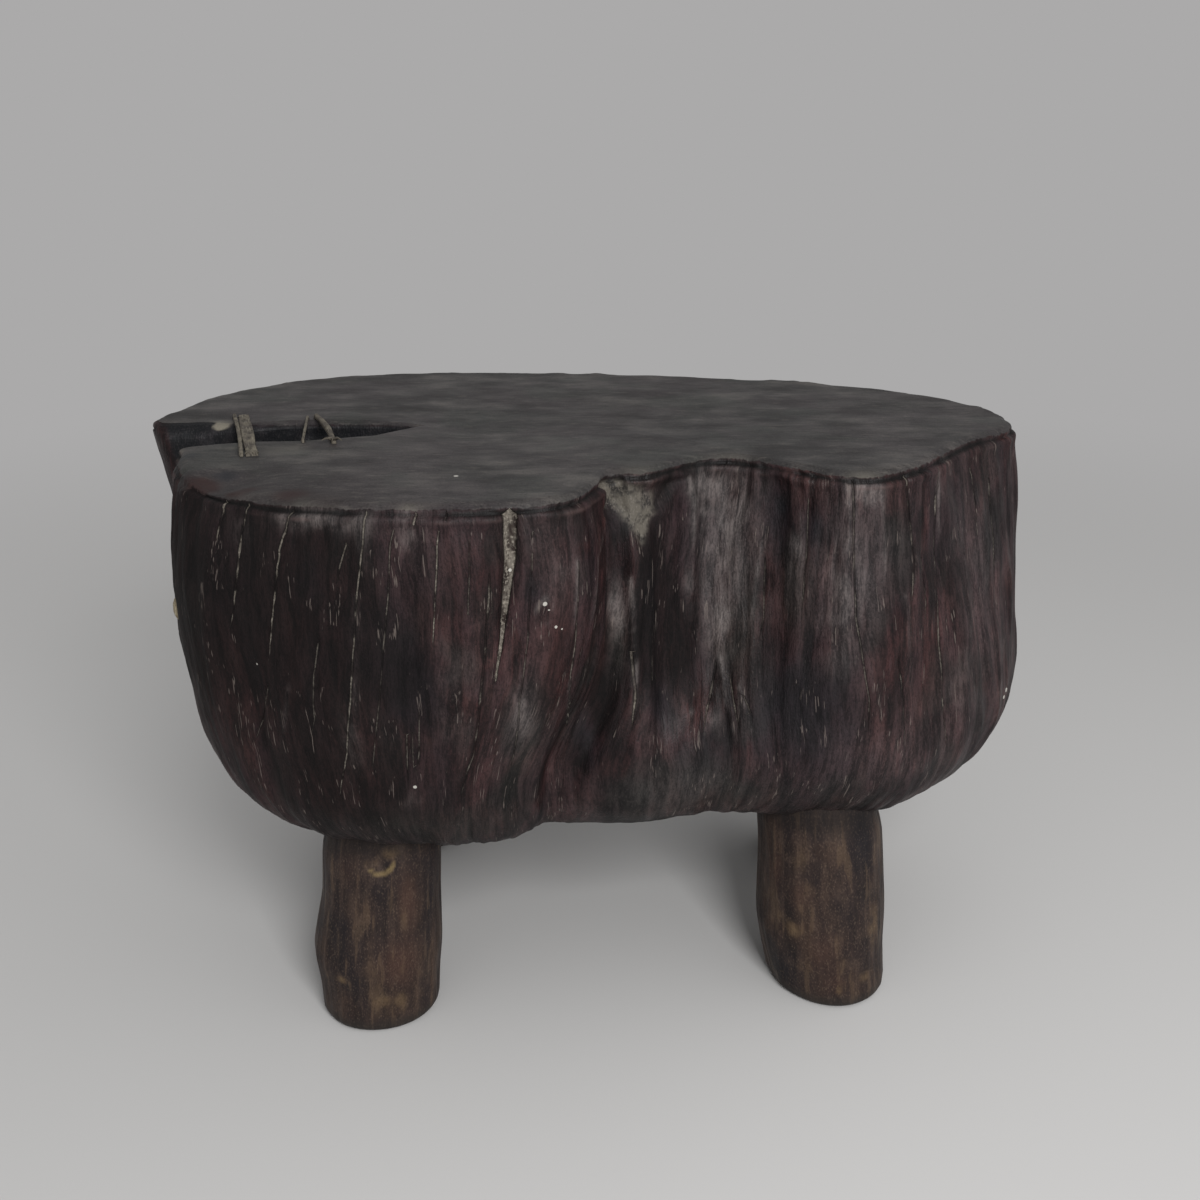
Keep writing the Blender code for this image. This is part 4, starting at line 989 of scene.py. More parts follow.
# The top is worn smooth by use: greyer, with wiping marks along it and open pores
upper = add_node(tree, "ValToRGB", {0: pattern["smear"]}, stops=(
    (0.30, "282626"), (0.45, "333131"), (0.57, "3D3A39"), (0.72, "4F4B48"),
))
upper = laid_over(tree, upper, (
    (pattern["patch"], 0.42, 0.62, 0.50, "3A3436"), (pattern["spot"], 0.50, 0.68, 0.50, "363835"),
    (pattern["scratch"], 0.54, 0.74, 0.35, "615C57"),
    (pattern["scratch"], 0.46, 0.32, 0.40, "211F1E"),
    (pattern["grit"], 0.54, 0.72, 0.26, "5F5B55"), (pattern["grit"], 0.46, 0.30, 0.32, "1F1D1C"),
    # the pale spots' layer: bare wood, partly painted highlights
    (pattern["pore"], 0.44, 0.32, 0.45, "201F1E"), (mask["bare"], 0.0, 1.0, 0.65, "7E796F"),
    # the dark spots' layer on the top is painted shade too
    (mask["blue"], 0.0, 1.0, 0.65, "222429"), (mask["dark"], 0.2, 1.0, 0.40, "1C191A"),
    (mask["red"], 0.25, 0.9, 0.85, "302120"),
))
ragged = summed(tree, ((mask["top"], 1.0), (pattern["streak"], 0.9)))
crumbled = summed(tree, ((mask["bare"], 1.0), (pattern["chip"], 0.8)))
# The split's walls: painted shade over mottled torn wood, with pale crumbs
shaded_split_wall = laid_over(tree, linear("101114"), (
    (pattern["mottle"], 0.46, 0.64, 0.8, "252225"), (pattern["grit"], 0.52, 0.70, 0.4, "343031"),
    (crumbled, 0.70, 1.15, 0.85, "7C766A"),
))
flake_wood = laid_over(tree, linear("2A2826"), (
    (pattern["chip"], 0.36, 0.56, 1.0, "605B53"), (pattern["grit"], 0.50, 0.70, 0.5, "7A746C"),
))
colour = laid_over(tree, side, (
    # painted shade in the groove below the rim
    (ragged, 0.85, 1.10, 1.0, upper), (mask["rim_band"], 0.1, 0.9, 0.92, "070606"),
    # a painted highlight along the lip, then the split's walls in painted shade
    (mask["lip"], 0.2, 1.0, 0.35, "564542"), (mask["split"], 0.0, 1.0, 1.0, shaded_split_wall),
    (mask["flake"], 0.0, 1.0, 0.85, flake_wood),
))

# Drying cracks: painted shade along their edges, with pale crumbling wood inside
wavered = summed(tree, ((pattern["waver"], 0.6), (mask["crack_place"], 1.0)))
wavered = add_node(tree, "Math", {0: wavered, 1: 0.30}, operation="SUBTRACT")
wavered = add_node(tree, "Math", {0: wavered}, operation="ABSOLUTE")
half = add_node(tree, "Math", {0: mask["crack_half"], 1: 0.0001}, operation="MAXIMUM")
ratio = add_node(tree, "Math", {0: wavered, 1: half}, operation="DIVIDE")
core = add_node(
    tree, "MapRange", {0: ratio, 1: 1.15, 2: 0.65}, interpolation_type="SMOOTHSTEP",
)
open_crack = add_node(tree, "MapRange", {0: mask["crack_half"], 1: 0.08, 2: 0.25})
core = add_node(tree, "Math", {0: core, 1: open_crack}, operation="MULTIPLY")
# Painted shade: a dark band beside each open crack
beside = add_node(tree, "MapRange", {0: ratio, 1: 2.4, 2: 1.0})
beside = add_node(tree, "Math", {0: beside, 1: open_crack}, operation="MULTIPLY")
crumbs = laid_over(tree, linear("2A2320"), (
    (pattern["dash"], 0.36, 0.56, 1.0, "68625A"), (pattern["pore"], 0.50, 0.68, 0.7, "918A7F"),
    (pattern["pore"], 0.46, 0.32, 0.7, "332B26"),
))
shown = add_node(tree, "MapRange", {0: mask["crack_pale"], 3: 0.15, 4: 0.95})
shown = add_node(tree, "Math", {0: core, 1: shown}, operation="MULTIPLY")
dashed = add_node(tree, "MapRange", {0: pattern["dash"], 1: 0.40, 2: 0.56, 3: 0.15, 4: 1.0})
broad = add_node(tree, "MapRange", {0: mask["crack_half"], 1: 0.8, 2: 1.3})
dashed = add_node(tree, "Math", {0: dashed, 1: broad}, operation="MAXIMUM")
shown = add_node(tree, "Math", {0: dashed, 1: shown}, operation="MULTIPLY")
colour = laid_over(tree, colour, (
    (beside, 0.0, 1.0, 0.45, "080606"), (shown, 0.0, 1.0, 1.0, crumbs),
))

# A few spattered specks of white paint: place in the picture and radius in millimetres
SPECKS = (
    ((510, 570), 0.9), ((545, 604), 1.2), ((549, 610), 0.6), ((556, 627), 0.8), ((562, 629), 0.5),
    ((415, 787), 1.0), ((1006, 690), 1.5), ((1004, 697), 1.2), ((257, 664), 0.6), ((456, 476), 1.3),
)
cut_mesh.calc_loop_triangles()
fine_tree = BVHTree.FromPolygons(
    [vertex.co for vertex in cut_mesh.vertices],
    [list(triangle.vertices) for triangle in cut_mesh.loop_triangles],
)
speck = 1.0
for spot, radius in SPECKS:
    away = add_node(
        tree, "VectorMath", {0: source["space"], 1: seen_at(fine_tree, spot)}, "Value",
        operation="DISTANCE",
    )
    away = add_node(tree, "Math", {0: away, 1: 1000 / radius}, operation="MULTIPLY")
    speck = add_node(tree, "Math", {0: away, 1: speck}, operation="MINIMUM")
colour = laid_over(tree, colour, ((speck, 1.0, 0.7, 0.85, "B9B6AE"),))

along = summed(tree, (
    (pattern["mottle"], 0.9), (pattern["wide"], 0.6), (pattern["strip"], 0.5),
    (pattern["streak"], 0.32), (pattern["fibre"], 0.26), (pattern["grit"], 0.20),
))
level = summed(tree, (
    (pattern["smear"], 0.25), (pattern["scratch"], 0.12), (pattern["grit"], 0.10),
))
relief = add_node(tree, "Mix", {0: mask["top"], 2: along, 3: level}, data_type="FLOAT")
relief = summed(tree, ((core, -0.9), (relief, 1.0)))
rough = add_node(tree, "MapRange", {0: pattern["mottle"], 1: 0.32, 2: 0.68, 3: 0.66, 4: 0.40})
top_rough = {0: pattern["smear"], 1: 0.35, 2: 0.65, 3: 0.58, 4: 0.46}
top_rough = add_node(tree, "MapRange", top_rough)
rough = add_node(tree, "Mix", {0: mask["top"], 2: rough, 3: top_rough}, data_type="FLOAT")
rough = add_node(tree, "Mix", {0: mask["dark"], 2: rough, 3: 0.8}, data_type="FLOAT")
rough = add_node(tree, "Mix", {0: core, 2: rough, 3: 0.9}, data_type="FLOAT")


def finish_material(material, colour, rough, relief, bump_height):
    """Joins the colour, dullness and relief of a wood or hide to its shader."""
    tree = material.node_tree
    bump = add_node(tree, "Bump", {"Height": relief, "Distance": bump_height, "Strength": 0.9})
    shader = tree.nodes["Principled BSDF"]
    for socket, value in (("Base Color", colour), ("Roughness", rough), ("Normal", bump)):
        tree.links.new(value, shader.inputs[socket])
    shader.inputs["IOR"].default_value = 1.5
    shader.inputs["Specular IOR Level"].default_value = 0.2


finish_material(wood, colour, rough, relief, 0.0011)
seat.data.materials.append(wood)
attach(seat, "root")
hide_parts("seat")

# The legs
# Four stout branches, peeled and stained, driven by their tapering upper ends into blind sockets.
# They stay a little crooked and lumpy, and are worn to paler wood where hands and feet rub them.
LEG_COLUMNS = 156
LEG_GIRTH_RADIUS = 0.031
LEG_HEAD_ROWS = 10
LEG_SHOWN_ROWS = 48
LEG_ENTRY = 0.106
SOCKET_FADE = 0.095         # a leg turns plain from here up to its entry, to sit in its socket
SOCKET_INSET = 0.0001
FOOT_ROUND = 0.005
FOOT_ROWS = 5
SOLE_FADE = 0.006
HEAD_POLE = (0.0, 0.5, 0.9)     # rings that close the ends, in shares of their last radius
FOOT_POLE = (0.85, 0.5, 0.0)
CAST_REACH = 0.08
CAST_INSET = 1e-4
KEPT_WAVES = 9              # finer waves round a leg are the solid's facets
LEG_SMOOTHINGS = 6
FOOT_BAND = (0.002, 0.012)
UNDER_SEAT_SHADE_BAND = (0.098, 0.112)
BACK_TINT_SEEDS = (41, 42, 43)
LEG_SINK = 0.0002


def branch_skin(name, order):
    """A leg's fine skin, smoothed from the CAD solid, and where each point lies in the grain."""
    tree = surface_tree(name)
    points = np.array([vertex.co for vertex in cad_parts[name].data.vertices])
    head_height = points[:, 2].max()
    foot = points[points[:, 2] < CAST_INSET].mean(axis=0)
    head = points[points[:, 2] > head_height - CAST_INSET].mean(axis=0)
    heights = list(np.linspace(head_height, LEG_ENTRY, LEG_HEAD_ROWS))
    heights += list(np.linspace(LEG_ENTRY, FOOT_ROUND, LEG_SHOWN_ROWS)[1:])
    turns = [math.pi / 2 * step / FOOT_ROWS for step in range(1, FOOT_ROWS + 1)]
    heights += [FOOT_ROUND * (1 - math.sin(turn)) for turn in turns]
    bearing = math.tau * np.arange(LEG_COLUMNS) / LEG_COLUMNS
    outward = np.stack((np.cos(bearing), np.sin(bearing), np.zeros(LEG_COLUMNS)), axis=1)
    radii = np.empty((len(heights), LEG_COLUMNS))
    middles = [foot + (head - foot) * height / head_height for height in heights]
    for i, (height, middle) in enumerate(zip(heights, middles)):
        level = Vector(middle)
        level.z = min(max(height, CAST_INSET), head_height - CAST_INSET)
        for k, way in enumerate(map(Vector, outward)):
            radii[i, k] = CAST_REACH - tree.ray_cast(level + way * CAST_REACH, -way)[3]
    waves = np.fft.rfft(radii, axis=1)
    waves[:, KEPT_WAVES:] = 0
    radii = np.fft.irfft(waves, LEG_COLUMNS, axis=1)
    inner = radii[2:-FOOT_ROWS - 1]
    for _ in range(LEG_SMOOTHINGS):
        inner[:] = (radii[1:-FOOT_ROWS - 2] + 2 * inner + radii[3:-FOOT_ROWS]) / 4
    head_pole = [radii[0] * share for share in HEAD_POLE]
    foot_pole = [radii[-1] * share for share in FOOT_POLE]
    radii = np.concatenate((head_pole, radii, foot_pole))
    heights = np.array([head_height] * len(HEAD_POLE) + heights + [0.0] * len(FOOT_POLE))
    middles = foot + (head - foot) * (heights / head_height)[:, None]
    skin = middles[:, None] + outward[None] * radii[..., None]
    grain = np.broadcast_to(outward[None] * LEG_GIRTH_RADIUS, skin.shape).copy()
    grain[..., 2] = heights[:, None]
    grain[..., 0] += order * 0.4
    return skin, grain, heights[:, None], outward[None]


# Marks: place in the picture, radius in millimetres, how much taller than wide, strength
TAN_SPOTS = (
    ((390, 853), 5, 1.0, 1.0), ((370, 866), 4, 0.8, 0.7), ((342, 980), 3, 0.8, 1.2),
    ((382, 1000), 6, 1.8, 0.9), ((402, 1002), 4, 1.8, 0.8), ((404, 920), 3, 3.0, 0.5),
    ((410, 880), 4, 2.0, 0.35), ((372, 970), 5, 2.4, 0.4),
    ((800, 862), 5, 2.0, 0.5), ((812, 888), 4, 1.4, 0.5), ((794, 930), 6, 0.9, 0.9),
    ((778, 915), 4, 1.2, 0.5), ((874, 925), 5, 2.8, 1.0), ((806, 968), 5, 1.2, 0.8),
    ((866, 976), 6, 0.7, 0.8), ((840, 990), 1.8, 2.0, 2.0), ((842, 965), 4, 1.8, 0.4),
)
# Dark where the bark clung, and painted shade at the front legs' tops under the seat and along the
# front left leg's right edge
DARK_AND_SHADE_SPOTS = (
    ((340, 935), 8, 2.6, 0.9), ((330, 850), 8, 0.8, 0.6), ((432, 900), 5, 4.0, 0.9),
    ((378, 890), 8, 1.0, 0.6), ((358, 985), 6, 1.8, 0.6), ((362, 940), 5, 1.6, 0.4),
    ((862, 845), 12, 1.7, 1.0), ((780, 968), 9, 1.5, 1.0), ((842, 915), 8, 1.3, 0.5),
    ((758, 850), 6, 2.0, 0.7), ((426, 860), 5, 2.0, 0.5), ((770, 940), 5, 1.0, 0.6),
)
RUDDY_SPOTS = (
    ((408, 900), 6, 3.0, 0.8), ((345, 870), 6, 2.0, 0.4), ((775, 870), 7, 2.2, 0.6),
    ((400, 965), 11, 1.4, 0.9), ((824, 955), 9, 1.6, 0.6), ((836, 985), 6, 1.6, 0.5),
    ((800, 895), 8, 1.4, 0.5),
)
# The knot facet on the front left leg, with a painted highlight on the lower rim of its hollow
KNOT_PLACE = (379, 862)
KNOT_RADIUS = 0.0074
KNOT_RING_WIDTH = 0.0013
KNOT_RING_FADE = (0.0005, 0.0055)
# Dents and facets of the legs: place in the picture, radius and depth in metres
LEG_DISHES = {
    "leg_front_left": ((KNOT_PLACE, 0.0068, 0.0026), ((336, 955), 0.006, 0.0008)),
    "leg_front_right": (((868, 905), 0.007, 0.0006), ((775, 925), 0.006, 0.0010)),
}

# Peeled branch wood with a thin dark stain: red-brown streaks down its length, dark where the
# bark clung, tan and nearly bare where it is rubbed, and a dirty band round the foot; with
# painted shade just under the seat and along the front left leg's right edge, and a painted
# highlight on the lower rim of the knot's hollow
branch_wood, tree, source, mask, pattern = begin_material("stained_branch_wood", {
    "tint": ("tan", "dark", "ruddy"), "edge": ("foot", "head", "ring"),
}, {
    "wide": ("grain", (9, 9, 60), 4), "streak": ("grain", (2.8, 2.8, 26), 4),
    "fibre": ("grain", (1.1, 1.1, 9), 3), "patch": ("grain", (16, 16, 28), 4),
    "broken": ("grain", (7, 7, 26), 2), "smudge": ("grain", (8, 8, 12), 4),
    "grit": ("grain", (0.8, 0.8, 1.4), 2),
})
colour = add_node(tree, "ValToRGB", {0: pattern["wide"]}, stops=(
    (0.30, "221B1A"), (0.44, "2D2321"), (0.56, "372B26"), (0.70, "43352D"),
))
tan = add_node(tree, "MapRange", {0: pattern["smudge"], 1: 0.36, 2: 0.60, 3: 0.3, 4: 1.0})
tan = add_node(tree, "Math", {0: mask["tan"], 1: tan}, operation="MULTIPLY")
rubbed = add_node(tree, "Math", {0: pattern["streak"], 1: pattern["broken"]}, operation="MULTIPLY")
colour = laid_over(tree, colour, (
    (pattern["streak"], 0.50, 0.66, 0.24, "4A3B33"),
    (pattern["streak"], 0.46, 0.34, 0.32, "181313"),
    (pattern["fibre"], 0.46, 0.34, 0.26, "171212"),
    (pattern["patch"], 0.52, 0.64, 0.50, "211B1D"), (pattern["patch"], 0.46, 0.34, 0.35, "3A2B23"),
    (pattern["smudge"], 0.52, 0.68, 0.35, "4A3C34"),
    (pattern["smudge"], 0.46, 0.34, 0.35, "1A1516"),
    (mask["ruddy"], 0.0, 1.0, 0.55, "4A332A"), (mask["dark"], 0.0, 1.0, 0.75, "19161A"),
    (rubbed, 0.30, 0.38, 0.25, "65523F"), (tan, 0.05, 0.9, 0.50, "6A563F"),
    # the knot's ring is a painted highlight
    (tan, 0.7, 1.5, 0.70, "94805F"), (mask["ring"], 0.1, 0.9, 0.50, "8C7852"),
    (pattern["grit"], 0.54, 0.72, 0.30, "6A5A4C"), (pattern["grit"], 0.46, 0.30, 0.34, "120F0F"),
    # dirt round the foot, and painted shade at the head just under the seat
    (mask["foot"], 0.0, 1.0, 0.60, "292623"), (mask["head"], 0.0, 1.0, 0.55, "121010"),
))
relief = summed(tree, (
    (pattern["wide"], 0.7), (pattern["streak"], 0.35), (pattern["smudge"], 0.5),
    (pattern["grit"], 0.2),
))
rough = add_node(tree, "MapRange", {0: pattern["streak"], 1: 0.35, 2: 0.65, 3: 0.66, 4: 0.50})
finish_material(branch_wood, colour, rough, relief, 0.0009)

for order, name in enumerate(LEGS, 1):
    skin, grain, height, outward = branch_skin(name, order)
    tree = surface_tree(name)
    # Each number of metres before lumps is a height, those in it are sizes
    bumps = 0.0007 * lumps(grain, 0.010, 0.09, 31) + 0.0005 * np.abs(lumps(grain, 0.005, 0.07, 32))
    crooks = 0.0010 * lumps(grain, 0.024, 0.035, 33) + 0.00025 * lumps(grain, 0.0024, 0.03, 34)
    bumps += crooks - LEG_SINK
    shown = 1 - soft_step(height, SOCKET_FADE, LEG_ENTRY)
    move = bumps * shown * soft_step(height, 0.0, SOLE_FADE) - SOCKET_INSET * (1 - shown)
    for place, radius, depth in LEG_DISHES.get(name, ()):
        away = np.linalg.norm(skin - np.array(seen_at(tree, place)), axis=2)
        move = move - depth * bell(away, radius)
    move[[0, -1]] = 0.0
    # Only the front legs are in the picture: their marks are placed, those of the back legs free
    if name.startswith("leg_front"):
        left = name.endswith("left")
        tint = [
            painted(skin, tree, [spot for spot in spots if (spot[0][0] < PICTURE_SIZE / 2) == left])
            for spots in (TAN_SPOTS, DARK_AND_SHADE_SPOTS, RUDDY_SPOTS)
        ]
    else:
        tint = [
            np.clip(lumps(grain, 0.012, 0.03, seed) * 2.2 - 0.3, 0, 1) for seed in BACK_TINT_SEEDS
        ]
    # A painted highlight on the lower rim of the knot's hollow, on the front left leg
    ring = 0.0
    if name == "leg_front_left":
        from_knot = skin - np.array(seen_at(tree, KNOT_PLACE))
        ring = bell(np.linalg.norm(from_knot, axis=2) - KNOT_RADIUS, KNOT_RING_WIDTH)
        ring = ring * soft_step(-from_knot[..., 2] + 0.3 * from_knot[..., 0], *KNOT_RING_FADE)
    # The foot's band is dirt; the head's band is painted shade just under the seat
    bands = (1 - soft_step(height, *FOOT_BAND), soft_step(height, *UNDER_SEAT_SHADE_BAND), ring)
    bands = [np.broadcast_to(band, skin.shape[:2]) for band in bands]
    attributes = {
        "grain": grain, "tint": np.stack(tint, axis=2), "edge": np.stack(bands, axis=2),
    }
    skin = skin + outward * move[..., None]
    leg = add_piece("branch_" + name, closed_skin("branch_" + name, skin, attributes))
    leg.data.materials.append(branch_wood)
    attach(leg, "root")
    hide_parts(name)

# The stitches
# Rawhide thongs laced over the split to stop it opening: one flat strap with a thin strand beside
# it, and two more strands further in. Their ends go down into holes and are frayed above them.
THONG_ROWS = 90
THONG_COLUMNS = 40
HIDE_BEND = 0.0012
BEND_STEPS = 4
END_GAP = 0.0002                # m left below a thong's end in its hole
IN_HOLE = (0.004, 0.001)
SPAN_ENDS = (0.06, 0.94)
SPAN_STEPS = 40
FRAY_STEPS = 14
FRAY_RISE = (1.1, 1.6)          # radii above the seat where it starts, and more in its arch
FRAY_ARCH = 0.8
FRAY_TAPER = (1.15, 0.15)

# Dry rawhide: pale grey-brown with fine pale fibres along it and dark grime between them
hide, tree, source, mask, pattern = begin_material("dry_rawhide", {}, {
    "fibre": ("grain", (0.5, 0.5, 9), 3), "stain": ("grain", (4, 4, 9), 3),
    "grime": ("grain", (1.4, 1.4, 3), 3),
})
colour = add_node(tree, "ValToRGB", {0: pattern["stain"]}, stops=(
    (0.32, "453F39"), (0.50, "5C564D"), (0.68, "706A5E"),
))
colour = laid_over(tree, colour, (
    (pattern["fibre"], 0.55, 0.72, 0.6, "8A8476"), (pattern["grime"], 0.46, 0.32, 0.7, "2A2622"),
))
relief = summed(tree, ((pattern["fibre"], 0.7), (pattern["grime"], 0.5)))
rough = add_node(tree, "MapRange", {0: pattern["stain"], 1: 0.35, 2: 0.65, 3: 0.62, 4: 0.80})
finish_material(hide, colour, rough, relief, 0.0003)


def staple_path(ends, lift, bow):
    """A thong's way: up out of one hole, bowed across the split, and down into the other."""
    start, end = map(on_seat, ends)
    run = end - start
    length = run.length
    run.normalize()
    beside = Vector((run.y, -run.x, 0.0))
    rising = [(0.0, -depth, 0.0) for depth in (HOLE_DEPTH - END_GAP, *IN_HOLE)]
    for step in range(BEND_STEPS + 1):
        turn = math.pi / 2 * step / BEND_STEPS
        ahead, down = HIDE_BEND * (1 - math.cos(turn)), HIDE_BEND * (1 - math.sin(turn))
        rising.append((ahead, lift - down, 0.0))
    first, last = SPAN_ENDS
    across = [
        (length * share, lift, bow * math.sin(math.pi * (share - first) / (last - first)))
        for share in np.linspace(first, last, SPAN_STEPS)
    ]
    falling = [(length - along, up, aside) for along, up, aside in reversed(rising)]
    return np.array([
        start + run * along + Vector((0, 0, up)) - beside * aside
        for along, up, aside in rising + across + falling
    ])


def thong_skin(path, half_width, half_thick, seed, roundness, swell=0.0):
    """A thong along a path, with uneven width and thickness, and its grain along it."""
    gaps = np.linalg.norm(np.diff(path, axis=0), axis=1)
    along = np.concatenate(((0.0,), np.cumsum(gaps)))
    places = np.linspace(0.0, along[-1], THONG_ROWS)
    centre = np.stack([np.interp(places, along, path[:, k]) for k in range(3)], axis=1)
    ahead = np.gradient(centre, axis=0)
    ahead /= np.linalg.norm(ahead, axis=1, keepdims=True)
    level = path[-1] - path[0]
    level[2] = 0.0
    level /= np.linalg.norm(level)
    sideways = np.broadcast_to(np.cross(level, (0.0, 0.0, 1.0)), centre.shape)
    upward = np.cross(sideways, ahead)
    bearing = math.tau * np.arange(THONG_COLUMNS) / THONG_COLUMNS
    across, up = (
        np.sign(wave) * np.abs(wave) ** roundness * half
        for wave, half in ((np.cos(bearing), half_width), (np.sin(bearing), half_thick))
    )
    grain = np.zeros((THONG_ROWS, THONG_COLUMNS, 3))
    grain[..., 0] = across + seed
    grain[..., 1] = up
    grain[..., 2] = places[:, None]
    uneven = 1 + 0.14 * lumps(grain, 0.004, 0.012, seed)
    uneven = uneven + swell * np.sin(math.pi * places / places[-1])[:, None] ** 4
    out = sideways[:, None] * across[None, :, None] + upward[:, None] * up[None, :, None]
    skin = centre[:, None] + out * uneven[..., None]
    # Both ends are closed by rings that shrink to a point
    first, last = (
        [row.mean(axis=0) + (row - row.mean(axis=0)) * share for share in shares]
        for row, shares in ((skin[0], (0.0, 0.5)), (skin[-1], (0.5, 0.0)))
    )
    skin = np.concatenate((first, skin, last))
    return skin, np.concatenate((grain[[0, 0]], grain, grain[[-1, -1]]))


def frayed_end(place, bearing, length, radius, seed):
    """A stiff torn strand that lies on the seat's top beside a hole and tapers to a point."""
    turn = math.radians(bearing)
    way = Vector((math.cos(turn), math.sin(turn), 0.0))
    path = []
    for share in np.linspace(0.0, 1.0, FRAY_STEPS):
        rise = FRAY_RISE[0] + FRAY_RISE[1] * math.sin(math.pi * share * FRAY_ARCH)
        lift = CLEARANCE + radius * rise
        path.append(place + way * length * share + Vector((0, 0, lift)))
    skin, grain = thong_skin(np.array(path), radius, radius, seed, 0.9)
    taper = np.linspace(*FRAY_TAPER, len(skin))[:, None, None]
    middle = skin.mean(axis=1, keepdims=True)
    return middle + (skin - middle) * taper, grain


# Each thong: node, height of its middle, bow, roundness of its section and swelling, then its
# frayed ends: place from the front hole in metres, bearing in degrees, length, radius and seed
THONGS = {
    "strap": ("stitch_strap", STRAP_THICKNESS / 2, 0.0, 0.45, 0.14, (
        ((0.0022, 0.0022), -80, 0.0062, 0.0006, 11), ((-0.0022, 0.0016), -92, 0.0050, 0.0006, 12),
        ((0.0004, 0.0012), -70, 0.0034, 0.0005, 13),
    )),
    "strand_beside": ("stitch_strand_beside_strap", 0.0010, 0.0006, 0.8, 0.0, (
        ((0.0, 0.0012), -95, 0.0042, 0.0005, 14),
    )),
    "strand_straight": ("stitch_strand_straight", 0.0008, 0.0, 0.8, 0.0, ()),
    "strand_diagonal": ("stitch_strand_diagonal", 0.00125, 0.0012, 0.8, 0.30, (
        ((0.0, 0.0010), -135, 0.0072, 0.0010, 15), ((0.0, 0.0010), -88, 0.0058, 0.0009, 16),
        ((0.0, 0.0010), -48, 0.0074, 0.0010, 17),
    )),
}
for seed, (stitch, form) in enumerate(THONGS.items(), 1):
    node, lift, bow, roundness, swell, frays = form
    half_width = STRAND_RADII.get(stitch, STRAP_WIDTH / 2)
    half_thick = STRAND_RADII.get(stitch, STRAP_THICKNESS / 2)
    name = "hide_" + stitch
    path = staple_path(STITCH_ENDS[stitch], CLEARANCE + lift, bow)
    skins = [thong_skin(path, half_width, half_thick, seed, roundness, swell)]
    front_hole = on_seat(STITCH_ENDS[stitch][1])
    for aside, *fray in frays:
        skins.append(frayed_end(front_hole + Vector((*aside, 0.0)), *fray))
    piece, *ends = (
        add_piece(name, closed_skin(name, skin, {"grain": grain})) for skin, grain in skins
    )
    combined(piece, ends, "UNION").materials.append(hide)
    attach(piece, "root")
    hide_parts(node)

# The side peg
# A short turned peg of pale wood, driven level into the left side of the front lobe. Its end
# grain is bare and slightly domed.
PEG_ROWS = 14
PEG_COLUMNS = 64
PEG_TAPER = 0.2
RING_SCALE = 190.0
peg_depth = PEG_LENGTH - PEG_PROUD
peg_rows = []
for step in range(PEG_ROWS):
    turn = math.pi / 2 * step / (PEG_ROWS - 1)
    peg_rows.append((PEG_RADIUS * math.sin(turn), PEG_PROUD * math.cos(turn)))
for share in (0.25, 0.5, 0.75, 1.0):
    peg_rows.append((PEG_RADIUS * (1 - PEG_TAPER * share), -peg_depth * share))
peg_rows.append((0.0, -peg_depth))
bearing = math.tau * np.arange(PEG_COLUMNS) / PEG_COLUMNS
local = np.array([[(r * math.cos(b), r * math.sin(b), z) for b in bearing] for r, z in peg_rows])
local[..., 2] += 0.00035 * lumps(local, 0.002, 0.002, 51) * (local[..., 2] > 0.0005)
skin = local @ np.array(peg_turn.to_3x3()).T + np.array(peg_mouth)
peg = add_piece("side_peg_end", closed_skin("side_peg_end", skin, {"grain": local}))

# Bare end grain: pale yellow-brown with growth rings, dark pores and a few stains
peg_wood, tree, source, mask, pattern = begin_material("bare_end_grain", {}, {
    "pore": ("grain", (0.5, 0.5, 4), 3), "stain": ("grain", (3, 3, 3), 3),
})
rings = add_node(tree, "TexWave", {
    "Vector": source["grain"], "Scale": RING_SCALE, "Distortion": 1.5, "Detail": 2.0,
}, wave_type="RINGS", rings_direction="Z")
colour = add_node(tree, "ValToRGB", {0: rings}, stops=((0.0, "8A7F69"), (1.0, "B3A88E")))
colour = laid_over(tree, colour, (
    (pattern["pore"], 0.46, 0.34, 0.6, "5B5142"), (pattern["stain"], 0.5, 0.66, 0.5, "7A6E5A"),
))
relief = summed(tree, ((rings, 0.3), (pattern["pore"], 0.5)))
rough = add_node(tree, "MapRange", {0: rings, 3: 0.75, 4: 0.6})
finish_material(peg_wood, colour, rough, relief, 0.0003)
peg.data.materials.append(peg_wood)
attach(peg, "root")
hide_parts("side_peg")

# The studio
# A plain pale floor that fades into an even background, one soft light beside the camera,
# and an even sky that fills the shadows.
FLOOR_HALF = 6.0
FLOOR_FADE = (0.55, 1.5)
FLOOR_COLOUR = "C4C3C2"
BACKGROUND_COLOUR = "ABAAAA"
SKY_WAY = Vector((0.45, -0.50, 0.74))
SKY_TURN = -0.5
SKY_RANGE = (0.12, 0.76)
KEY_PLACE = Vector((0.32, -1.10, 0.90))
KEY_SIZE = 0.45
KEY_POWER = 13.0
AIM = Vector((0.0, 0.0, 0.18))

floor_shape = bmesh.new()
bmesh.ops.create_grid(floor_shape, x_segments=8, y_segments=8, size=FLOOR_HALF)
floor_mesh = bpy.data.meshes.new("floor")
floor_shape.to_mesh(floor_mesh)
floor_shape.free()
floor = add_piece("floor", floor_mesh)

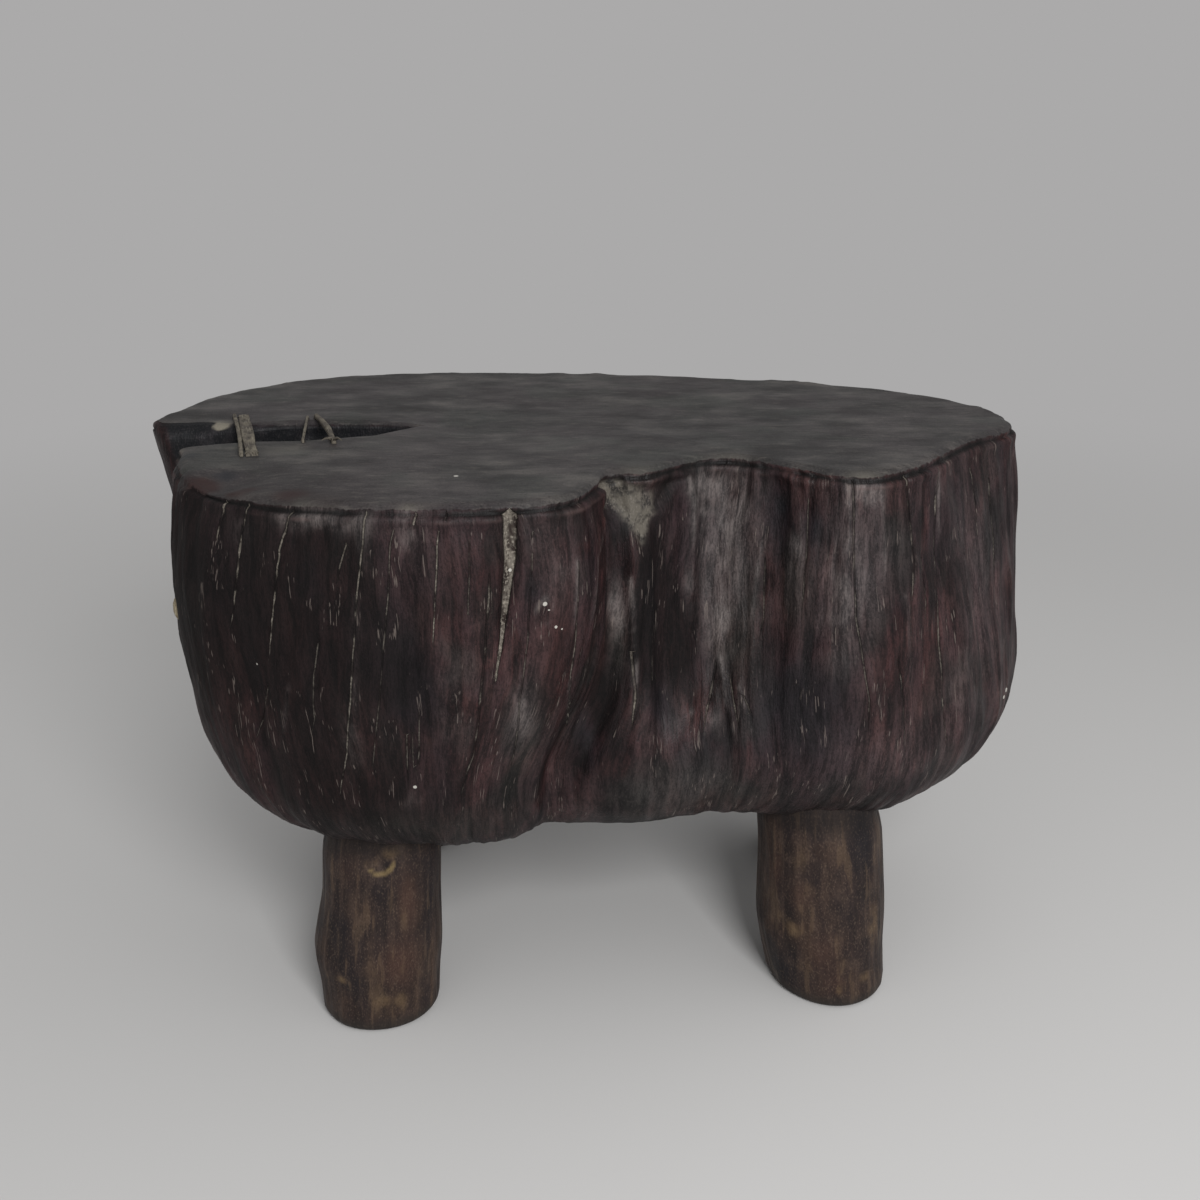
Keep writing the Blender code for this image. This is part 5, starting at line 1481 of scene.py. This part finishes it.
# Matt paper: an even pale grey without sheen that shows the stool's soft shadow near it and
# gives way to the plain background further out
paper = bpy.data.materials.new("matt_paper")
paper.use_nodes = True
tree = paper.node_tree
surface = tree.nodes["Principled BSDF"]
surface.inputs["Base Color"].default_value = linear(FLOOR_COLOUR)
surface.inputs["Roughness"].default_value = 0.95
surface.inputs["Specular IOR Level"].default_value = 0.1
glow = add_node(tree, "Emission", {"Color": linear(BACKGROUND_COLOUR), "Strength": 1.0})
spot = add_node(tree, "TexCoord", output="Object")
away = add_node(tree, "VectorMath", {0: spot}, output="Value", operation="LENGTH")
fade = add_node(
    tree, "MapRange", {0: away, 1: FLOOR_FADE[0], 2: FLOOR_FADE[1]},
    interpolation_type="SMOOTHSTEP",
)


def seen_rays(tree):
    """Is 1 for the rays that see a surface: from the camera, a reflection or clear stuff."""
    rays = add_node(tree, "LightPath").node.outputs
    seen = rays["Is Camera Ray"]
    for kind in ("Is Glossy Ray", "Is Transmission Ray"):
        seen = add_node(tree, "Math", {0: seen, 1: rays[kind]}, operation="MAXIMUM")
    return seen


share = add_node(tree, "Math", {0: fade, 1: seen_rays(tree)}, operation="MULTIPLY")
blend = add_node(tree, "MixShader", {0: share, 1: surface.outputs[0], 2: glow})
tree.links.new(blend, tree.nodes["Material Output"].inputs["Surface"])
floor_mesh.materials.append(paper)

world = bpy.data.worlds.new("studio")
bpy.context.scene.world = world
world.use_nodes = True
tree = world.node_tree
sky = tree.nodes["Background"]
sky.inputs["Color"].default_value = linear("FFFFFF")
way = add_node(tree, "TexCoord", output="Generated")
facing = add_node(tree, "VectorMath", {0: way, 1: SKY_WAY}, "Value", operation="DOT_PRODUCT")
bright = add_node(
    tree, "MapRange", {0: facing, 1: SKY_TURN, 2: 1.0, 3: SKY_RANGE[0], 4: SKY_RANGE[1]},
    interpolation_type="SMOOTHSTEP",
)
tree.links.new(bright, sky.inputs["Strength"])
backdrop = add_node(tree, "Background", {"Color": linear(BACKGROUND_COLOUR), "Strength": 1.0})
blend = add_node(tree, "MixShader", {0: seen_rays(tree), 1: sky.outputs[0], 2: backdrop})
tree.links.new(blend, tree.nodes["World Output"].inputs["Surface"])

key_data = bpy.data.lights.new("key", "AREA")
key_data.size = KEY_SIZE
key_data.energy = KEY_POWER
key = bpy.data.objects.new("key", key_data)
key.location = KEY_PLACE
key.rotation_euler = (AIM - KEY_PLACE).to_track_quat("-Z", "Y").to_euler()
bpy.context.scene.collection.objects.link(key)
